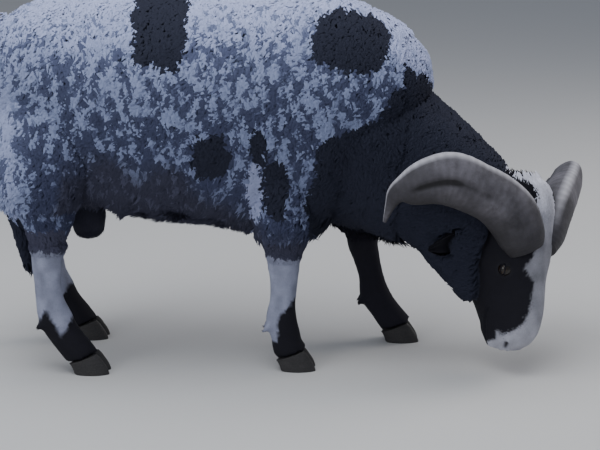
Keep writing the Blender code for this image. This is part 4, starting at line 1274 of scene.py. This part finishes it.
def paintSkin(skin):
    points = vertexValues(skin.data)
    region = regionsOf(points)
    depth = np.array([body["fleece"], body["neckWool"], *[0.0] * 7])[region]
    seen = points + vertexValues(skin.data, "normal") * depth[:, None]
    colours = sum(coatColours(seen + dice.normal(0, 0.0016, seen.shape), region) for _ in range(5)) / 5
    inHead = moved(points, headInverse)
    black = np.array(coat["black"])[None]
    wet = np.zeros(len(points))
    for sign in (-1, 1):
        dark = bell(awayFrom(inHead, mirrored(head["nostril"], sign))[0], 0.0040)
        colours = lerp(colours, black, dark)
        rim = bell(np.linalg.norm(inHead - mirrored(head["eye"], sign), axis=1) - 0.0150, 0.0022)
        wet = np.maximum(wet, np.maximum(dark, rim * 0.7))
    line = bell(awayFrom(inHead[:, [0, 2]], head["mouth"])[0], 0.0016) * (region == headPart)
    setColours(skin.data, "coat", lerp(colours, black, line))
    setValues(skin.data, "wet", wet)


# Horns

horn = {
    "middle": (0.065, 0.143, -0.046),
    "rows": 220,
    "sides": 44,
    "rings": 34,
    "ringDepth": 0.00035,
    "wrinkle": 0.0015,
    "groove": (1.42, 0.13, 0.0075),    # its turn from the outer edge, half width in turn, depth
    "lip": 0.0012,                     # height of the low lip beside the groove
    # the light edge of each horn is a painted highlight along its keel
    "leftKeel": 0.97,                  # the left horn's light edge is a little narrower
    # how much of its depth the groove has on its way from base to tip
    "grooveFade": [(0.0, 0.0), (0.08, 0.10), (0.36, 0.12), (0.46, 0.45), (0.50, 1.0), (0.66, 0.9),
                   (0.72, 0.0), (1.0, 0.0)],
    # how much darker the horn is from base to tip; towards the tip this is painted shade where it turns down
    "shade": [(0.0, 0.92), (0.10, 0.68), (0.20, 0.34), (0.30, 0.0), (0.54, 0.0), (0.64, 0.60), (0.85, 0.66),
              (1.0, 0.20)],
    "stations": [
        # along, aside, up, half breadth, half thickness
        (0.082, 0.034, 0.042, 0.034, 0.022),
        (0.056, 0.048, 0.037, 0.044, 0.033),
        (0.018, 0.073, 0.026, 0.049, 0.038),
        (-0.010, 0.110, 0.011, 0.048, 0.038),
        (-0.027, 0.152, -0.008, 0.048, 0.037),
        (-0.040, 0.195, -0.032, 0.050, 0.035),
        (-0.035, 0.222, -0.055, 0.046, 0.032),
        (-0.018, 0.244, -0.086, 0.035, 0.025),
        (-0.004, 0.256, -0.108, 0.020, 0.016),
        (0.018, 0.258, -0.120, 0.010, 0.009),
        (0.052, 0.256, -0.132, 0.003, 0.003),
    ],
}


def growthRingTree():
    tree = bpy.data.node_groups.new("growth rings", "GeometryNodeTree")
    for way in ("INPUT", "OUTPUT"):
        tree.interface.new_socket("Geometry", in_out=way, socket_type="NodeSocketGeometry")
    for name, kind in (("Ring Count", "Float"), ("Ring Depth", "Float"), ("Wrinkle Depth", "Float"),
                       ("Material", "Material")):
        tree.interface.new_socket(name, in_out="INPUT", socket_type="NodeSocket" + kind)

    def add(kind, settings={}, *values, **named):
        made = tree.nodes.new(kind)
        for key, value in settings.items():
            setattr(made, key, value)
        for key, value in (*enumerate(values), *named.items()):
            if isinstance(value, bpy.types.NodeSocket):
                tree.links.new(value, made.inputs[key])
            else:
                made.inputs[key].default_value = value
        return made.outputs

    def maths(operation, *values):
        return add("ShaderNodeMath", {"operation": operation}, *values)[0]

    given = add("NodeGroupInput")
    along = add("GeometryNodeInputNamedAttribute", {"data_type": "FLOAT"}, "along")["Attribute"]
    wave = add("ShaderNodeTexNoise", Scale=28.0, Detail=3.0)[0]
    ringsSoFar = maths("MULTIPLY_ADD", along, given["Ring Count"], maths("MULTIPLY", wave, 1.6))
    ridge = maths("POWER", maths("ABSOLUTE", maths("SINE", maths("MULTIPLY", ringsSoFar, math.pi))), 0.55)
    fade = maths("SUBTRACT", 1.0, maths("POWER", along, 2.2))
    rise = maths("MULTIPLY", maths("MULTIPLY", ridge, given["Ring Depth"]), fade)
    coarse = maths("SUBTRACT", add("ShaderNodeTexNoise", Scale=60.0, Detail=4.0)[0], 0.5)
    rise = maths("MULTIPLY_ADD", coarse, maths("MULTIPLY", given["Wrinkle Depth"], fade), rise)
    normal = add("GeometryNodeInputNormal")["Normal"]
    offset = add("ShaderNodeVectorMath", {"operation": "SCALE"}, normal, Scale=rise)[0]
    shaped = add("GeometryNodeSetPosition", {}, given["Geometry"], Offset=offset)[0]
    real = add("GeometryNodeRealizeInstances", {}, shaped)[0]
    add("NodeGroupOutput", {}, add("GeometryNodeSetMaterial", {}, real, Material=given["Material"])[0])
    return tree


def runTree(obj, tree, values):
    step = obj.modifiers.new(tree.name, "NODES")
    step.node_group = tree
    for item in tree.interface.items_tree:
        if item.item_type == "SOCKET" and item.in_out == "INPUT" and item.name in values:
            step[item.identifier] = values[item.name]
    return evaluated(obj)


def makeHorn(side, tree, paint):
    sign = sides[side]
    rows = [(a, sign * w, n, wide, thick, thick) for a, w, n, wide, thick in horn["stations"]]
    middle = mirrored(horn["middle"], sign)
    rings = tubeRings(rows, horn["rows"], horn["sides"], sideAxes=lambda spot: spot - middle,
                      squareness=2.3, ridge=0.10)
    mesh = closedMesh(f"horn {side}", moved(rings, headFrame))
    along = np.append(np.repeat(np.linspace(0, 1, horn["rows"]), horn["sides"]), (0, 1))
    angle = np.append(np.tile(np.arange(horn["sides"]) / horn["sides"], horn["rows"]), (0, 0))
    keel = np.abs(angle - 0.5) * 2 * (1.0 if side == "right" else horn["leftKeel"])
    # a long groove on each flat side, that fades out towards the base and the tip
    turn = np.minimum(angle, 1 - angle) * 2 * math.pi
    middleTurn, half, depth = horn["groove"]
    fade = readOff(along, horn["grooveFade"])
    groove = bell(turn - middleTurn, half) * fade
    lip = bell(turn - middleTurn - 1.9 * half, half) * fade
    points = vertexValues(mesh) + vertexValues(mesh, "normal") * (lip * horn["lip"] - groove * depth)[:, None]
    setPoints(mesh, points)
    for name, values in (("along", along), ("keel", keel), ("shade", readOff(along, horn["shade"])),
                         ("groove", groove)):
        setValues(mesh, name, values)
    obj = place(f"ringed_horn_{side}", mesh)
    runTree(obj, tree, {"Ring Count": float(horn["rings"]), "Ring Depth": horn["ringDepth"],
                        "Wrinkle Depth": horn["wrinkle"], "Material": paint.material})
    obj.data.shade_smooth()
    return settle(obj, paint, [f"horn_{side}"])


def makeHornPaint():
    paint = Paint("weathered horn with painted light")
    coords = paint.coords()
    along, keel = paint.attribute("along"), paint.attribute("keel")
    cloud = paint.noise(coords, 17.0, 6.0, 0.62)
    fine = paint.noise(coords, 240.0, 4.0, 0.7)
    stain = paint.noise(coords, 44.0, 5.0, 0.75)
    waves = (along * (horn["rings"] * 2 * math.pi) + cloud * 9.0).sine() * 0.5 + 0.5
    # rim: a painted highlight on the keel, where light catches the horn's outer edge
    rim = ((keel - 0.86) * 10.0).clamp() * (along * 6.0 - 0.5).clamp()
    base = paint.mix(((cloud - 0.34) * 3.2).clamp(), (0.048, 0.045, 0.053), (0.168, 0.158, 0.182))
    for share, colour in (
            (((stain - 0.52) * 4.0).clamp() * 0.7, (0.056, 0.050, 0.056)),
            # painted shade along the horn, from its shade table
            (paint.attribute("shade"), (0.0140, 0.0135, 0.0180)),
            # the painted highlight along the keel
            (rim * (0.55 + cloud * 0.8), (0.430, 0.420, 0.460)),
            (waves * 0.18, (0.040, 0.035, 0.037)),
            # painted shade on the side away from the keel
            (((0.50 - keel) * 4.0).clamp() * 0.8, (0.024, 0.022, 0.025)),
            # painted shade in the groove
            ((paint.attribute("groove") * 1.5).clamp() * 0.92, (0.010, 0.009, 0.010))):
        base = paint.mix(share, base, colour)
    height = waves * -0.20 + fine * 0.5 + stain * 0.6
    normal = paint.bump(height, 0.5, 0.0018)
    return paint.finish(base, 0.52 + fine * 0.25, normal, {"Specular IOR Level": 0.35})


# Eyes

# the eye's colours are dimmed well below a real eye's: painted shadow of the horn over it
eyeball = {"amber": (0.030, 0.014, 0.005), "rim": (0.006, 0.004, 0.002), "white": (0.016, 0.012, 0.011)}


def makeEye(side, paint):
    centre, out, along, up = eyeAxes(sides[side])
    radius = head["eyeRadius"] - 0.0001
    rings = []
    for row in range(1, 40):
        polar = math.pi * row / 40
        bulge = 1 + 0.010 * math.exp(-((polar / 0.45) ** 2))
        ring = []
        for angle in turns(64):
            flat = (along * math.cos(angle) + up * math.sin(angle)) * math.sin(polar)
            ring.append(headFrame @ (centre + (out * math.cos(polar) + flat) * radius * bulge))
        rings.append(ring)
    mesh = closedMesh(f"eye {side}", np.array(rings))
    inHead = moved(vertexValues(mesh), headInverse) - np.array(centre)
    for name, axis in (("long", along), ("high", up), ("front", out)):
        setValues(mesh, name, inHead @ np.array(axis) / radius)
    return settle(place(f"eyeball_{side}", mesh), paint, [f"eye_{side}"])


def makeEyePaint():
    paint = Paint("wet eye")
    across, high, front = (paint.attribute(name) for name in ("long", "high", "front"))
    away = (across * across + high * high) ** 0.5
    colour = paint.mix(paint.noise(paint.coords(), 900.0, 3.0), eyeball["amber"],
                       [c * 0.35 for c in eyeball["amber"]])
    pupil = ((1.0 - (across * across / 0.115 + high * high / 0.0125)) * 6.0).clamp()
    for share, added in ((((away - 0.50) * 7.0).clamp(), eyeball["rim"]),
                         (((away - 0.74) * 12.0).clamp() * 0.75, eyeball["white"]),
                         (pupil, (0.003, 0.003, 0.004)),
                         ((front * -4.0).clamp(), (0.02, 0.015, 0.015))):
        colour = paint.mix(share, colour, added)
    return paint.finish(colour, 0.16, None, {"Coat Weight": 0.35, "Coat Roughness": 0.06,
                                             "Specular IOR Level": 0.30})


# Hooves


def makeClaw(name, hoofX, y, paint):
    ahead, across = np.cos(turns(48)), bent(np.sin(turns(48)), 0.85)
    rings = []
    for rise, size, back in through(hoof["profile"], 64):
        rise = min(max(rise, 0.0), 1.0)
        width = hoof["width"] / 2 * (size * 0.5 + 0.5) * (1 - 0.30 * np.maximum(ahead, 0) ** 2)
        x = hoofX - back + hoof["length"] / 2 * size * ahead
        ripple = 1 + 0.010 * math.sin(rise * 60) * (0.05 < rise < 0.97)
        shrink = min(size / 0.77, 1.0) if rise >= 0.999 else 1.0
        rings.append(np.stack([x, y + width * across * ripple * shrink, rise * coronet(x, hoofX)], axis=1))
    return settle(place(f"claw_{name}", closedMesh("claw", np.array(rings))), paint, [name])


def makeHoofPaint():
    paint = Paint("hoof horn")
    coords = paint.coords()
    bands = paint.noise(paint.node("ShaderNodeMapping", {}, Vector=coords, Scale=(1.0, 1.0, 7.0)), 60.0, 4.0)
    fine = paint.noise(coords, 420.0, 3.0)
    colour = paint.mix(bands, (0.008, 0.008, 0.009), (0.034, 0.031, 0.032))
    colour = paint.mix((fine - 0.45).clamp() * 1.2, colour, (0.085, 0.078, 0.074))
    return paint.finish(colour, 0.42 + fine * 0.35, paint.bump(bands * 0.7 + fine * 0.3, 0.5, 0.0012))


def main():
    makeCamera()
    makeStudio()
    print("camera, floor and light")
    skin = makeSkin()
    paintSkin(skin)
    makeCoat(skin, makeCoatPaint())
    flesh = [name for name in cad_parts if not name.startswith(("horn_", "eye_")) and "hoof" not in name]
    settle(skin, makeSkinPaint(), flesh)
    rings, hornPaint, eyePaint, hoofPaint = growthRingTree(), makeHornPaint(), makeEyePaint(), makeHoofPaint()
    for side in sides:
        makeHorn(side, rings, hornPaint)
        makeEye(side, eyePaint)
    for leg, side, stations, hoofX in footPlaces():
        for part, sign in (("outer", sides[side]), ("inner", -sides[side])):
            makeClaw(f"{leg}_hoof_{side}_{part}", hoofX, stations[0][1] + sign * hoof["spread"], hoofPaint)
    print("horns, eyes and hooves")


main()
